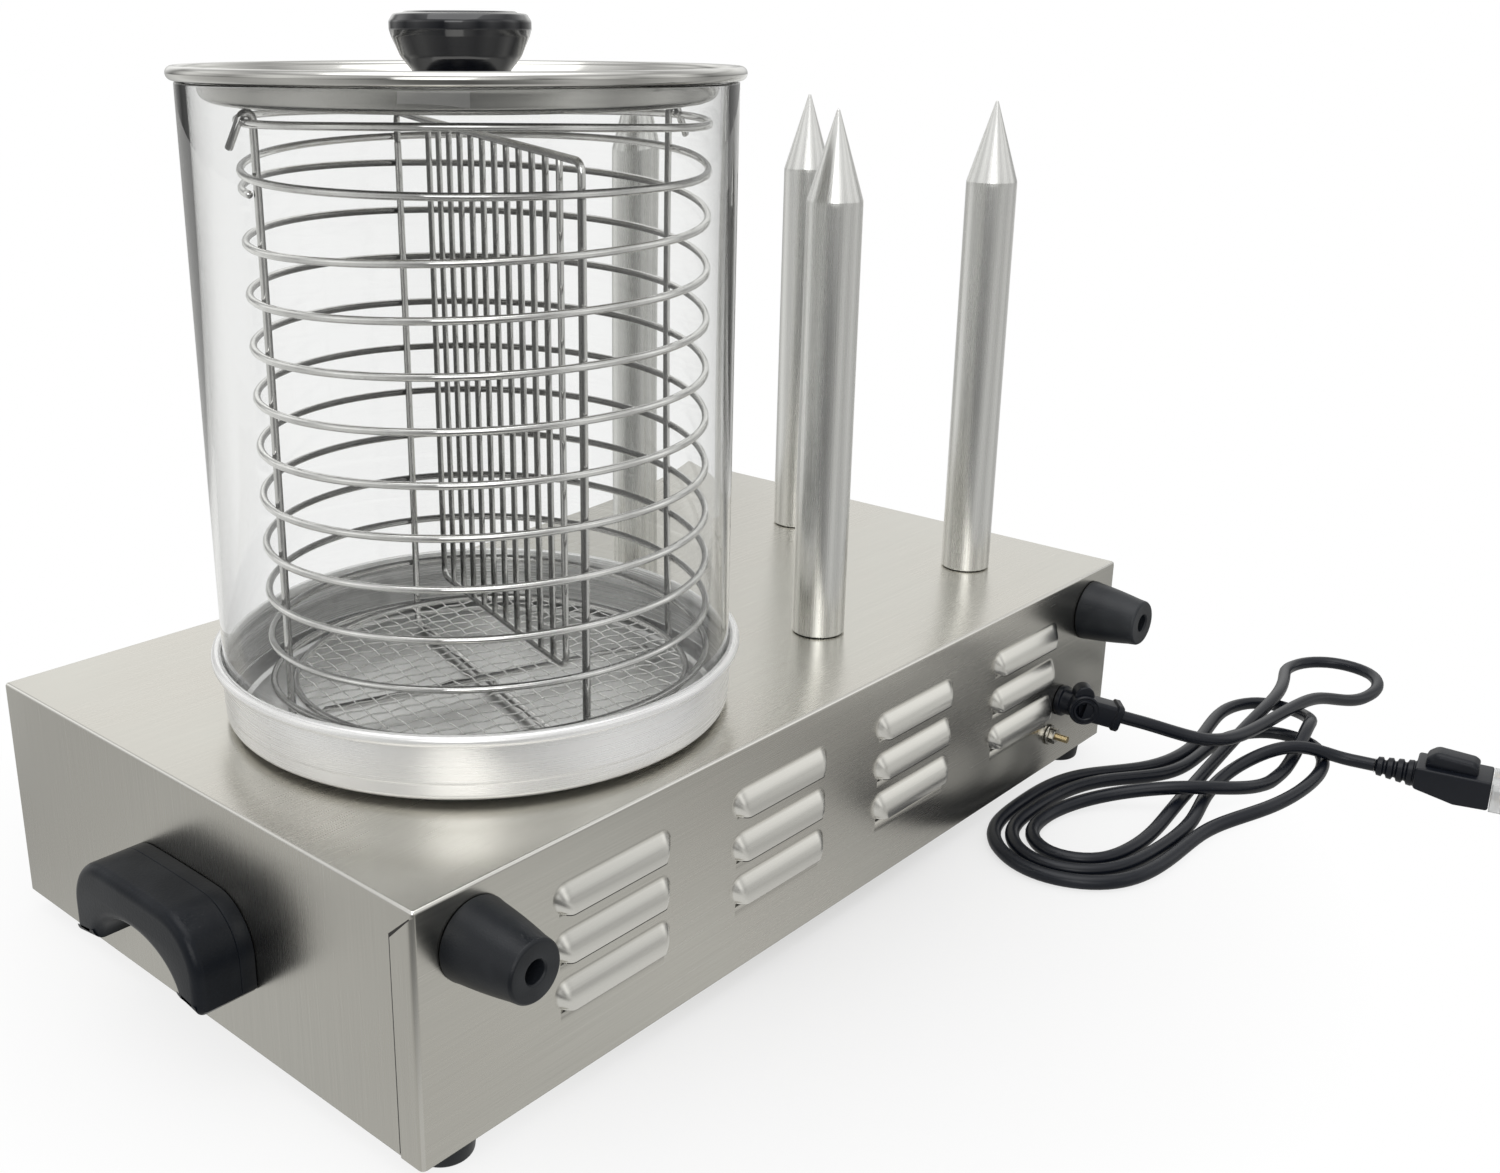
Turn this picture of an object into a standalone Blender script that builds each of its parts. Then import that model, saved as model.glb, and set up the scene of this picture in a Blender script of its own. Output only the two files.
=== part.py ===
"""Hot dog spike machine: a countertop steamer and bun warmer.

A folded stainless housing carries a water pan with its heater on the left end
and four heated aluminium spikes on the right end. A glass cylinder stands in
the pan, with a wire basket, a wire divider and a lid. The controls are on the
front, and the rear has louvres, two rubber bumpers and the mains lead.

Metres, +Z up. The front faces -Y and the pan's end is at +X. The origin lies
under the middle of the machine, at the level that its feet stand on.
"""

import math

import bmesh
import bpy
import numpy as np
from mathutils import Matrix, Vector

# Clearances
GAP = 0.0003
OVERRUN = 0.004
MERGE_DISTANCE = 0.00001
FLAT_ANGLE = math.radians(1)

# Housing
HOUSING_LENGTH = 0.500
HOUSING_WIDTH = 0.285
HOUSING_HEIGHT = 0.104
SHEET = 0.001
BEND_RADIUS = 0.0025
LAP_WIDTH = 0.012
LAP_PROUD = 0.0008
BASE_LIP = 0.010
FOOT_HEIGHT = 0.010
FOOT_RADIUS = 0.0128
FOOT_TAPER = 0.0006
FOOT_END_INSET = 0.021
FOOT_SIDE_INSET = 0.015

# Louvres, pressed outward above their slits
LOUVRE_LENGTH = 0.065
LOUVRE_HEIGHT = 0.0125
LOUVRE_DEPTH = 0.0055
LOUVRE_COLUMN_PITCH = 0.103
LOUVRE_ROW_PITCH = 0.0203
LOUVRE_COLUMN_MIDDLE = -0.0015
LOUVRE_LOWEST_SLIT = 0.0325
LOUVRE_COLUMNS = 4
LOUVRE_ROWS = 3

# Handles on both ends
HANDLE_SPAN = 0.091
HANDLE_FOOT_WIDTH = 0.0155
HANDLE_DEPTH = 0.026
HANDLE_FOOT_LEVEL = 0.030
HANDLE_TOP_LEVEL = 0.067
HANDLE_ARCH_RISE = 0.0185
HANDLE_SHOULDER = 0.022
HANDLE_ROUND = 0.006

# Rubber bumpers on the rear
BUMPER_LENGTH = 0.031
BUMPER_BASE_RADIUS = 0.0162
BUMPER_TIP_RADIUS = 0.0122
BUMPER_HOLE_RADIUS = 0.0045
BUMPER_HOLE_DEPTH = 0.020
BUMPER_INSET = 0.0265
BUMPER_LEVEL = 0.0825
BUMPER_EDGE = 0.0015

# Water pan, its gasket and its heater
PAN_X = 0.1116
PAN_Y = 0.022
PAN_RADIUS = 0.111
PAN_WALL = 0.0015
PAN_CORNER = 0.003
PAN_HEIGHT = 0.0288
PAN_BEAD_RADIUS = 0.0025
PAN_STEP_RADIUS = 0.100
PAN_LEDGE = 0.0015
PAN_STUD_RADIUS = 0.003
GASKET_OUTER_RADIUS = 0.100
GASKET_INNER_RADIUS = 0.088
GASKET_THICKNESS = 0.0015
HEATER_HOLE_RADIUS = 0.085
HEATER_RADIUS = 0.080
HEATER_THICKNESS = 0.010
CLAMP_WIDTH = 0.025
CLAMP_THICKNESS = 0.003
CLAMP_BEARING = 0.010
NUT_HEIGHT = 0.005
NUT_RADIUS = 0.0065

# Glass cylinder and lid
GLASS_RADIUS = 0.1087
GLASS_WALL = 0.003
GLASS_HEIGHT = 0.2546
GLASS_EDGE = 0.0008
LID_BEAD_RADIUS = 0.0036
LID_BEAD_OPENING = 15
LID_SHEET = 0.001
LID_SKIRT_RADIUS = 0.1015
LID_DISH_DEPTH = 0.0115
LID_CROWN = 0.0085
LID_SEAT_RADIUS = 0.030
LID_CORNER = 0.004
KNOB_COLLAR_RADIUS = 0.0165
KNOB_NECK_RADIUS = 0.019
KNOB_RADIUS = 0.0275
KNOB_HEIGHT = 0.0272
KNOB_RADIUS_SHARES = (0.80, 0.93, 1.00, 1.00, 0.95, 0.84)
KNOB_HEIGHT_SHARES = (1.00, 0.965, 0.86, 0.77, 0.60, 0.36)
KNOB_NECK_SHARES = (0.18, 0.12)
KNOB_COLLAR_SHARES = (0.10, 0.0)
KNOB_BORE_RADIUS = 0.0023
KNOB_BORE_DEPTH = 0.013
LID_SCREW_RADIUS = 0.002
LID_SCREW_HEAD_RADIUS = 0.005
LID_SCREW_HEAD_HEIGHT = 0.0028

# Spikes and their cartridge heaters
SPIKE_XS = (-0.187, -0.052)
SPIKE_YS = (-0.032, 0.085)
SPIKE_RADIUS = 0.0128
SPIKE_HEIGHT = 0.246
SPIKE_CONE = 0.040
SPIKE_TIP_RADIUS = 0.0006
SPIKE_BORE_RADIUS = 0.0068
SPIKE_NECK_RADIUS = 0.0095
SPIKE_NECK_LENGTH = 0.012
SPIKE_NUT_RADIUS = 0.0150
SPIKE_NUT_HEIGHT = 0.006
CARTRIDGE_TAIL = 0.010

# Wire basket
BASKET_SHIFT_X = -0.0035
BASKET_SHIFT_Y = 0.004
COIL_RADIUS = 0.0925
COIL_WIRE_RADIUS = 0.0015
COIL_TURNS = 10.25
COIL_POINTS_PER_TURN = 20
RING_POINTS = 28
ROD_RADIUS = 0.0016
TOP_RING_DROP = 0.0200
SECOND_RING_DROP = 0.0364
PLAIN_ROD_DROP = 0.0385
COIL_TOP_DROP = 0.0423
COIL_START_RISE = 0.0112
TOP_RING_TILT = 0.0066
TOP_RING_TURN = math.radians(45)
HOOK_REACH = 0.0075
HOOK_DROP = 0.011
ROD_FOOT_RUN = 0.014
ROD_FOOT_RISE = 0.0045
TRAY_RADIUS = 0.0838
NET_PITCH = 0.018
NET_BAR = 0.0014
NET_THICKNESS = 0.0012
HOOK_ROD_TURN = math.radians(-18)
PLAIN_ROD_TURN = math.radians(72)

# Wire divider
DIVIDER_RAIL_RADIUS = 0.0014
DIVIDER_FRAME_RADIUS = 0.0013
DIVIDER_BAR_RADIUS = 0.0012
DIVIDER_RODS = 12
DIVIDER_ROD_PITCH = 0.0113
DIVIDER_ROD_MIDDLE = 0.010
DIVIDER_RAIL_RISE = 0.0104
DIVIDER_BOTTOM_LEVEL = 0.0395
DIVIDER_CORNER = 0.004

# Controls on the front
DIAL_X = 0.070
SWITCH_X = 0.135
CONTROL_LEVEL = 0.052
DIAL_RADIUS = 0.019
DIAL_HEIGHT = 0.022
DIAL_SKIRT = 0.005
DIAL_SKIRT_EDGE = 0.0035
DIAL_RIDGE_WIDTH = 0.005
DIAL_RIDGE_HEIGHT = 0.0015
DIAL_RIDGE_SHARES = (0.5, 0.8)
SPINDLE_RADIUS = 0.003
SPINDLE_LENGTH = 0.012
THERMOSTAT_WIDTH = 0.036
THERMOSTAT_DEPTH = 0.022
SWITCH_WIDTH = 0.021
SWITCH_HEIGHT = 0.030
SWITCH_FLANGE = 0.002
SWITCH_DEPTH = 0.024
SWITCH_BORDER = 0.0015
ROCKER_WIDTH = 0.013
ROCKER_HEIGHT = 0.021
ROCKER_RISE = 0.0035
ROCKER_WAIST = 0.0020
ROCKER_ROOT = 0.0030
ROCKER_SINK = 0.001
ROCKER_TILT = math.radians(10)
TERMINAL_LENGTH = 0.050
TERMINAL_WIDTH = 0.020
TERMINAL_HEIGHT = 0.018
TERMINAL_X = -0.130
TERMINAL_INSET = 0.045
TERMINAL_BORE_RADIUS = 0.0025
TERMINAL_BORE_PITCH = 0.012

# Mains lead: gland on the rear, and the stud of the earth wire
GLAND_X = -0.200
GLAND_LEVEL = 0.0365
GLAND_NECK_RADIUS = 0.0065
GLAND_FLANGE_RADIUS = 0.0085
GLAND_FLANGE = 0.0025
GLAND_REACH = 0.0130
GLAND_BOSS_RADIUS = 0.0083
GLAND_BOSS_WIDTH = 0.0140
GLAND_RECESS_RADIUS = 0.0045
GLAND_RECESS = 0.0018
GLAND_CAP_RADIUS = 0.0052
GLAND_CAP_LEVEL = 0.0075
GLAND_CAP_WIDTH = 0.0090
GLAND_ARM_LENGTH = 0.0205
GLAND_ARM_WIDTH = 0.0125
GLAND_RIM = 0.0030
GLAND_RIM_PROUD = 0.0011
GLAND_TURN = math.radians(40)
GLAND_DIP = math.radians(15)
EARTH_X = -0.1905
EARTH_LEVEL = 0.0190
EARTH_RADIUS = 0.002
EARTH_REACH = 0.011
EARTH_INNER_REACH = 0.006
EARTH_NUT_RADIUS = 0.0045
EARTH_NUT_HEIGHT = 0.0032
EARTH_WASHER_RADIUS = 0.0058
EARTH_WASHER = 0.001

# Mains plug, its strain relief, pins and pin cover
CORD_RADIUS = 0.0036
CORD_STRAIGHT = 0.012
CORD_SPACING = 0.0216
RELIEF_LENGTH = 0.020
RELIEF_RIBS = 4
RELIEF_START_RADIUS = 0.0050
RELIEF_END_RADIUS = 0.0074
RELIEF_GROOVE = 0.0015
RELIEF_RIB_SHARES = (0.05, 0.55)
RELIEF_GROOVE_SHARE = 0.75
PLUG_X = -0.3225
PLUG_Y = 0.2900
PLUG_TURN = math.radians(12)
PLUG_LENGTH = 0.037
PLUG_WIDTH = 0.024
PLUG_HEIGHT = 0.017
PLUG_KEEL = 0.0045
PLUG_KEEL_SHARE = 0.55
PLUG_NOSE = 0.0006
PLUG_ROUND = 0.0012
GRIP_LENGTH = 0.026
GRIP_WIDTH = 0.014
GRIP_HEIGHT = 0.0085
GRIP_SETBACK = 0.004
GRIP_ROUND = 0.004
PIN_LENGTH = 0.017
PIN_SPACING = 0.0127
PIN_WIDTH = 0.00635
PIN_THICKNESS = 0.0015
EARTH_PIN_OFFSET = 0.0119
EARTH_PIN_RADIUS = 0.0024
PIN_SIDE = 0.0046
COVER_LENGTH = 0.020
COVER_WALL = 0.0008

# Points of the mains lead from the gland to the strain relief, chosen by hand
CORD_LEVEL = 0.0037
CORD_ROUTE = (
    # Down from the gland to the table
    (-0.2490, 0.2010, 0.0258),
    (-0.2970, 0.2110, 0.0195),
    (-0.3500, 0.2132, 0.0166),
    (-0.3800, 0.2170, 0.0130),
    (-0.4120, 0.2270, 0.0045),
    # Round the far loop
    (-0.4420, 0.2300, CORD_LEVEL),
    (-0.4640, 0.2170, CORD_LEVEL),
    (-0.4640, 0.1910, CORD_LEVEL),
    (-0.4430, 0.1775, CORD_LEVEL),
    (-0.4130, 0.1830, 0.0075),
    # Back over the ends of two loops
    (-0.3720, 0.1945, 0.0122),
    (-0.3250, 0.1990, 0.0122),
    (-0.2500, 0.2020, 0.0045),
    (-0.1950, 0.2080, CORD_LEVEL),
    # Round the inner loop near the pan
    (-0.1440, 0.2100, CORD_LEVEL),
    (-0.1235, 0.2015, CORD_LEVEL),
    (-0.1160, 0.1835, CORD_LEVEL),
    (-0.1250, 0.1678, CORD_LEVEL),
    (-0.1435, 0.1622, CORD_LEVEL),
    (-0.1830, 0.1745, 0.0065),
    # Over two runs and round the first loop by the plug
    (-0.2130, 0.2080, 0.0124),
    (-0.2420, 0.2270, 0.0080),
    (-0.2870, 0.2325, 0.0037),
    (-0.3370, 0.2262, 0.0125),
    (-0.3605, 0.2180, 0.0068),
    (-0.3728, 0.2030, CORD_LEVEL),
    (-0.3705, 0.1870, CORD_LEVEL),
    (-0.3560, 0.1765, CORD_LEVEL),
    (-0.3250, 0.1755, CORD_LEVEL),
    (-0.2850, 0.1815, CORD_LEVEL),
    # Round the outer loop near the pan
    (-0.2400, 0.1748, CORD_LEVEL),
    (-0.2050, 0.1530, CORD_LEVEL),
    (-0.1500, 0.1449, CORD_LEVEL),
    (-0.1120, 0.1530, CORD_LEVEL),
    (-0.0940, 0.1840, CORD_LEVEL),
    (-0.1080, 0.2165, CORD_LEVEL),
    (-0.1500, 0.2290, CORD_LEVEL),
    # Round the second loop by the plug
    (-0.1950, 0.2310, CORD_LEVEL),
    (-0.2360, 0.2430, CORD_LEVEL),
    (-0.2850, 0.2490, CORD_LEVEL),
    (-0.3140, 0.2440, CORD_LEVEL),
    (-0.3325, 0.2290, CORD_LEVEL),
    (-0.3335, 0.2105, CORD_LEVEL),
    (-0.3190, 0.1960, CORD_LEVEL),
    (-0.2850, 0.1895, CORD_LEVEL),
    # Round the middle loop near the pan
    (-0.2400, 0.1858, CORD_LEVEL),
    (-0.2050, 0.1635, CORD_LEVEL),
    (-0.1500, 0.1535, CORD_LEVEL),
    (-0.1180, 0.1600, CORD_LEVEL),
    (-0.1038, 0.1830, CORD_LEVEL),
    (-0.1155, 0.2085, CORD_LEVEL),
    (-0.1500, 0.2200, CORD_LEVEL),
    # Over two runs to the plug
    (-0.1950, 0.2203, CORD_LEVEL),
    (-0.2400, 0.2120, CORD_LEVEL),
    (-0.2760, 0.2180, 0.0100),
    (-0.2990, 0.2350, 0.0148),
)

# Derived levels and places
HOUSING_Y = (DIAL_HEIGHT + DIAL_RIDGE_HEIGHT - BUMPER_LENGTH) / 2
HOUSING_LOW = FOOT_HEIGHT
HOUSING_TOP = FOOT_HEIGHT + HOUSING_HEIGHT
REAR = HOUSING_Y + HOUSING_WIDTH / 2
FRONT = HOUSING_Y - HOUSING_WIDTH / 2
END = HOUSING_LENGTH / 2
PAN_CENTRE_Y = HOUSING_Y + PAN_Y
PAN_BASE = HOUSING_TOP + GAP + GASKET_THICKNESS + GAP
PAN_FLOOR = PAN_BASE + PAN_WALL
PAN_LEDGE_TOP = PAN_FLOOR + PAN_LEDGE
PAN_TOP = PAN_BASE + PAN_HEIGHT
GLASS_LOW = PAN_LEDGE_TOP + GAP
GLASS_TOP = GLASS_LOW + GLASS_HEIGHT
LID_BEAD_LEVEL = GLASS_TOP + GAP + LID_BEAD_RADIUS
LID_DISH_LEVEL = GLASS_TOP - LID_DISH_DEPTH
LID_SEAT_LEVEL = LID_DISH_LEVEL + LID_CROWN
KNOB_LEVEL = LID_SEAT_LEVEL + LID_SHEET + GAP
BASKET_X = PAN_X + BASKET_SHIFT_X
BASKET_Y = PAN_CENTRE_Y + BASKET_SHIFT_Y
BASKET_LOW = PAN_FLOOR + GAP
ROD_CIRCLE = COIL_RADIUS - COIL_WIRE_RADIUS - GAP - ROD_RADIUS
PLAIN_CROSS_LEVEL = BASKET_LOW + ROD_FOOT_RISE + ROD_RADIUS
HOOK_CROSS_LEVEL = PLAIN_CROSS_LEVEL + 2 * ROD_RADIUS + GAP
TRAY_LEVEL = HOOK_CROSS_LEVEL + ROD_RADIUS + GAP + NET_THICKNESS / 2
TOP_RING_LEVEL = GLASS_TOP - TOP_RING_DROP
SECOND_RING_LEVEL = GLASS_TOP - SECOND_RING_DROP
PLAIN_ROD_LEVEL = GLASS_TOP - PLAIN_ROD_DROP
COIL_TOP_LEVEL = GLASS_TOP - COIL_TOP_DROP
COIL_PITCH = (COIL_TOP_LEVEL - BASKET_LOW - COIL_START_RISE) / COIL_TURNS
CONTROL_Z = HOUSING_LOW + CONTROL_LEVEL

parts = bpy.data.collections.new("hot_dog_spike_machine")
cutters = bpy.data.collections.new("cutters")


def clear_scene():
    """Empties the scene and links the two collections."""
    for thing in list(bpy.data.objects):
        bpy.data.objects.remove(thing, do_unlink=True)
    for collection in (parts, cutters):
        bpy.context.scene.collection.children.link(collection)


def finish(name, colour, roughness, metallic=0.0, transmission=0.0):
    """A plain material with the colour that the piece shows."""
    made = bpy.data.materials.new(name)
    made.use_nodes = True
    shader = made.node_tree.nodes["Principled BSDF"]
    shader.inputs["Base Color"].default_value = (*colour, 1.0)
    shader.inputs["Roughness"].default_value = roughness
    shader.inputs["Metallic"].default_value = metallic
    shader.inputs["Transmission Weight"].default_value = transmission
    return made


STEEL = finish("brushed_steel", (0.52, 0.51, 0.48), 0.35, 1.0)
SATIN = finish("satin_aluminium", (0.70, 0.70, 0.69), 0.30, 1.0)
CHROME = finish("chromed_wire", (0.72, 0.71, 0.69), 0.12, 1.0)
LID_STEEL = finish("polished_steel", (0.60, 0.59, 0.57), 0.15, 1.0)
GLASS = finish("clear_glass", (0.95, 0.97, 0.97), 0.02, 0.0, 1.0)
BLACK = finish("black_plastic", (0.020, 0.024, 0.030), 0.40)
KNOB_BLACK = finish("glossy_black_plastic", (0.012, 0.012, 0.014), 0.12)
RUBBER = finish("black_rubber", (0.018, 0.020, 0.024), 0.65)
CORD_BLACK = finish("cord_sheath", (0.016, 0.018, 0.022), 0.35)
RED = finish("red_rocker", (0.45, 0.02, 0.015), 0.25)
BRASS = finish("brass", (0.60, 0.42, 0.18), 0.30, 1.0)
GASKET_GREY = finish("dark_gasket", (0.05, 0.05, 0.05), 0.80)
CREAM = finish("terminal_plastic", (0.60, 0.58, 0.50), 0.50)
CLEAR = finish("clear_plastic", (0.85, 0.85, 0.85), 0.15, 0.0, 0.7)


def place(name, mesh, material, at=(0, 0, 0), cutter=False):
    """An object of this mesh at a place, among the parts or the cutters."""
    made = bpy.data.objects.new(name, mesh)
    made.location = at
    (cutters if cutter else parts).objects.link(made)
    if cutter:
        made.hide_render = True
        made.display_type = "WIRE"
    else:
        mesh.materials.append(material)
    return made


def mesh_of(name, shape):
    """A mesh from a bmesh, which is freed."""
    mesh = bpy.data.meshes.new(name)
    bmesh.ops.recalc_face_normals(shape, faces=shape.faces)
    shape.to_mesh(mesh)
    shape.free()
    return mesh


def block(name, low, high, material=None, edge=0.0, segments=2, cutter=False):
    """A box between two corners, with its edges rounded by edge."""
    low, high = Vector(low), Vector(high)
    shape = bmesh.new()
    bmesh.ops.create_cube(shape, size=1.0)
    bmesh.ops.scale(shape, vec=high - low, verts=shape.verts)
    if edge:
        bmesh.ops.bevel(
            shape, geom=shape.edges[:], offset=edge, segments=segments, profile=0.5, affect="EDGES"
        )
    return place(name, mesh_of(name, shape), material, (low + high) / 2, cutter)


def rod(name, radius, start, end, material=None, sides=24, cutter=False):
    """A round or many-sided bar between the middles of its two end faces."""
    start, end = Vector(start), Vector(end)
    shape = bmesh.new()
    bmesh.ops.create_cone(
        shape, cap_ends=True, segments=sides, radius1=radius, radius2=radius, depth=(end - start).length
    )
    for face in shape.faces:
        face.smooth = sides > 6 and len(face.verts) == 4
    made = place(name, mesh_of(name, shape), material, (start + end) / 2, cutter)
    made.rotation_mode = "QUATERNION"
    made.rotation_quaternion = (end - start).to_track_quat("Z", "Y")
    return made


def turned(name, profile, at, material=None, steps=36, closed=False, axis="Z", cutter=False):
    """A profile of (radius, height) turned about an upright axis, or about +Y or -Y."""
    mesh = bpy.data.meshes.new(name)
    edges = [(i, i + 1) for i in range(len(profile) - 1)]
    if closed:
        edges.append((len(profile) - 1, 0))
    mesh.from_pydata([(r, 0, z) for r, z in profile], edges, [])
    made = place(name, mesh, material, at, cutter)
    screw = made.modifiers.new("turn", "SCREW")
    screw.steps = steps
    screw.render_steps = steps
    screw.use_merge_vertices = True
    screw.merge_threshold = MERGE_DISTANCE
    screw.use_smooth_shade = True
    made.rotation_euler = {"Z": (0, 0, 0), "Y": (-math.pi / 2, 0, 0), "-Y": (math.pi / 2, 0, 0)}[axis]
    return made


def arc(centre, radius, start, end, count):
    """Points of an arc in the plane of a profile, from one angle in degrees to another."""
    angles = np.radians(np.linspace(start, end, count))
    return [(centre[0] + radius * math.cos(a), centre[1] + radius * math.sin(a)) for a in angles]


def combine(target, tool, operation="DIFFERENCE"):
    """Cuts a tool from the target, joins it to the target or keeps what both share."""
    modifier = target.modifiers.new(operation.lower(), "BOOLEAN")
    modifier.operation = operation
    modifier.object = tool
    return target


def wire(name, points, radius, material, closed=False):
    """A bent wire: a curve through the points with a round section and filled ends."""
    curve = bpy.data.curves.new(name, "CURVE")
    curve.dimensions = "3D"
    curve.bevel_depth = radius
    curve.bevel_resolution = 1
    curve.use_fill_caps = True
    line = curve.splines.new("POLY")
    line.points.add(len(points) - 1)
    line.points.foreach_set("co", np.c_[np.array(points), np.ones(len(points))].ravel())
    line.use_cyclic_u = closed
    made = bpy.data.objects.new(name, curve)
    curve.materials.append(material)
    parts.objects.link(made)
    return made


def solid_wire(name, points, radius, material=None, closed=False, cutter=False):
    """The same wire as a closed mesh, for joining to others."""
    curve = wire(name + "_curve", points, radius, STEEL, closed)
    bpy.context.view_layer.update()
    graph = bpy.context.evaluated_depsgraph_get()
    mesh = bpy.data.meshes.new_from_object(curve.evaluated_get(graph))
    mesh.materials.clear()
    shape = bmesh.new()
    shape.from_mesh(mesh)
    bmesh.ops.remove_doubles(shape, verts=shape.verts, dist=MERGE_DISTANCE)
    matrix = curve.matrix_world.copy()
    bpy.data.objects.remove(curve, do_unlink=True)
    made = place(name, mesh_of(name, shape), material, cutter=cutter)
    made.matrix_world = matrix
    return made


def outline_solid(name, outline, thickness):
    """A flat outline in X and Y, thickened to both sides along Z, as a bmesh."""
    curve = bpy.data.curves.new(name, "CURVE")
    curve.dimensions = "2D"
    curve.fill_mode = "BOTH"
    curve.extrude = thickness / 2
    line = curve.splines.new("POLY")
    line.points.add(len(outline) - 1)
    line.points.foreach_set("co", np.array([(x, y, 0, 1) for x, y in outline], float).ravel())
    line.use_cyclic_u = True
    guide = bpy.data.objects.new(name, curve)
    parts.objects.link(guide)
    bpy.context.view_layer.update()
    graph = bpy.context.evaluated_depsgraph_get()
    mesh = bpy.data.meshes.new_from_object(guide.evaluated_get(graph))
    bpy.data.objects.remove(guide, do_unlink=True)
    shape = bmesh.new()
    shape.from_mesh(mesh)
    bpy.data.meshes.remove(mesh)
    bmesh.ops.remove_doubles(shape, verts=shape.verts, dist=MERGE_DISTANCE)
    bmesh.ops.dissolve_limit(shape, angle_limit=FLAT_ANGLE, verts=shape.verts, edges=shape.edges)
    return shape


def smooth_path(points, spacing):
    """Evenly spaced points on a cubic curve through the inner points, with straight ends.

    The slopes at the inner points are such that the curve bends without a jump.
    """
    p = np.array(points, float)
    q = p[1:-1]
    chords = np.linalg.norm(np.diff(q, axis=0), axis=1)
    weights = 1 / chords
    system = np.eye(len(q))
    known = np.zeros_like(q)
    known[0] = (q[0] - p[0]) / np.linalg.norm(q[0] - p[0])
    known[-1] = (p[-1] - q[-1]) / np.linalg.norm(p[-1] - q[-1])
    for i in range(1, len(q) - 1):
        before, after = weights[i - 1], weights[i]
        system[i, i - 1 : i + 2] = before, 2 * (before + after), after
        known[i] = 3 * ((q[i] - q[i - 1]) * before**2 + (q[i + 1] - q[i]) * after**2)
    slopes = np.linalg.solve(system, known)
    u = np.linspace(0, 1, 24, endpoint=False)[None, :, None]
    h = chords[:, None, None]
    dense = (
        (2 * u**3 - 3 * u**2 + 1) * q[:-1, None]
        + (u**3 - 2 * u**2 + u) * h * slopes[:-1, None]
        + (3 * u**2 - 2 * u**3) * q[1:, None]
        + (u**3 - u**2) * h * slopes[1:, None]
    )
    dense = np.vstack([dense.reshape(-1, 3), q[-1:]])
    along = np.r_[0, np.cumsum(np.linalg.norm(np.diff(dense, axis=0), axis=1))]
    count = int(round(along[-1] / spacing)) + 1
    even = np.linspace(0, along[-1], count)
    inner = np.stack([np.interp(even, along, dense[:, k]) for k in range(3)], 1)
    return np.vstack([p[:1], inner, p[-1:]])


def least_gap(points, radius, apart):
    """The least gap of a tube to itself, between points further apart along it than apart."""
    p = np.array(points)
    along = np.r_[0, np.cumsum(np.linalg.norm(np.diff(p, axis=0), axis=1))]
    distance = np.linalg.norm(p[:, None] - p[None], axis=2)
    distance[np.abs(along[:, None] - along[None]) < apart] = np.inf
    return distance.min() - 2 * radius


def in_housing(x, y, level):
    """A place given from the housing's middle and from its lower edge."""
    return Vector((x, HOUSING_Y + y, HOUSING_LOW + level))


def louvre_places():
    """The middles of the slits on the rear, column by column."""
    first = LOUVRE_COLUMN_MIDDLE - LOUVRE_COLUMN_PITCH * (LOUVRE_COLUMNS - 1) / 2
    for column in range(LOUVRE_COLUMNS):
        for row in range(LOUVRE_ROWS):
            level = LOUVRE_LOWEST_SLIT + row * LOUVRE_ROW_PITCH
            yield Vector((first + column * LOUVRE_COLUMN_PITCH, REAR, HOUSING_LOW + level))


def hoods(name, inset, drop):
    """All louvre hoods as half capsules above their slits, smaller by inset, cut off at drop below."""
    shape = bmesh.new()
    for middle in louvre_places():
        made = bmesh.ops.create_uvsphere(shape, u_segments=8, v_segments=5, radius=1.0)["verts"]
        bmesh.ops.rotate(shape, verts=made, matrix=Matrix.Rotation(math.pi / 2, 3, "Y"))
        reach = Vector((LOUVRE_HEIGHT, LOUVRE_DEPTH, LOUVRE_HEIGHT)) - Vector((inset, inset, inset))
        bmesh.ops.scale(shape, verts=made, vec=reach)
        straight = LOUVRE_LENGTH / 2 - LOUVRE_HEIGHT
        for vertex in made:
            vertex.co.x += math.copysign(straight, vertex.co.x)
        faces = {face for vertex in made for face in vertex.link_faces}
        edges = {edge for vertex in made for edge in vertex.link_edges}
        cut = bmesh.ops.bisect_plane(
            shape, geom=[*made, *edges, *faces], plane_co=(0, 0, -drop), plane_no=(0, 0, -1), clear_outer=True
        )
        rim = [item for item in cut["geom_cut"] if isinstance(item, bmesh.types.BMEdge)]
        cap = bmesh.ops.edgeloop_fill(shape, edges=rim)["faces"][0]
        island, front = set(cap.verts), list(cap.verts)
        while front:
            for edge in front.pop().link_edges:
                for vertex in edge.verts:
                    if vertex not in island:
                        island.add(vertex)
                        front.append(vertex)
        bmesh.ops.translate(shape, verts=list(island), vec=middle)
    return place(name, mesh_of(name, shape), None, cutter=True)


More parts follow.
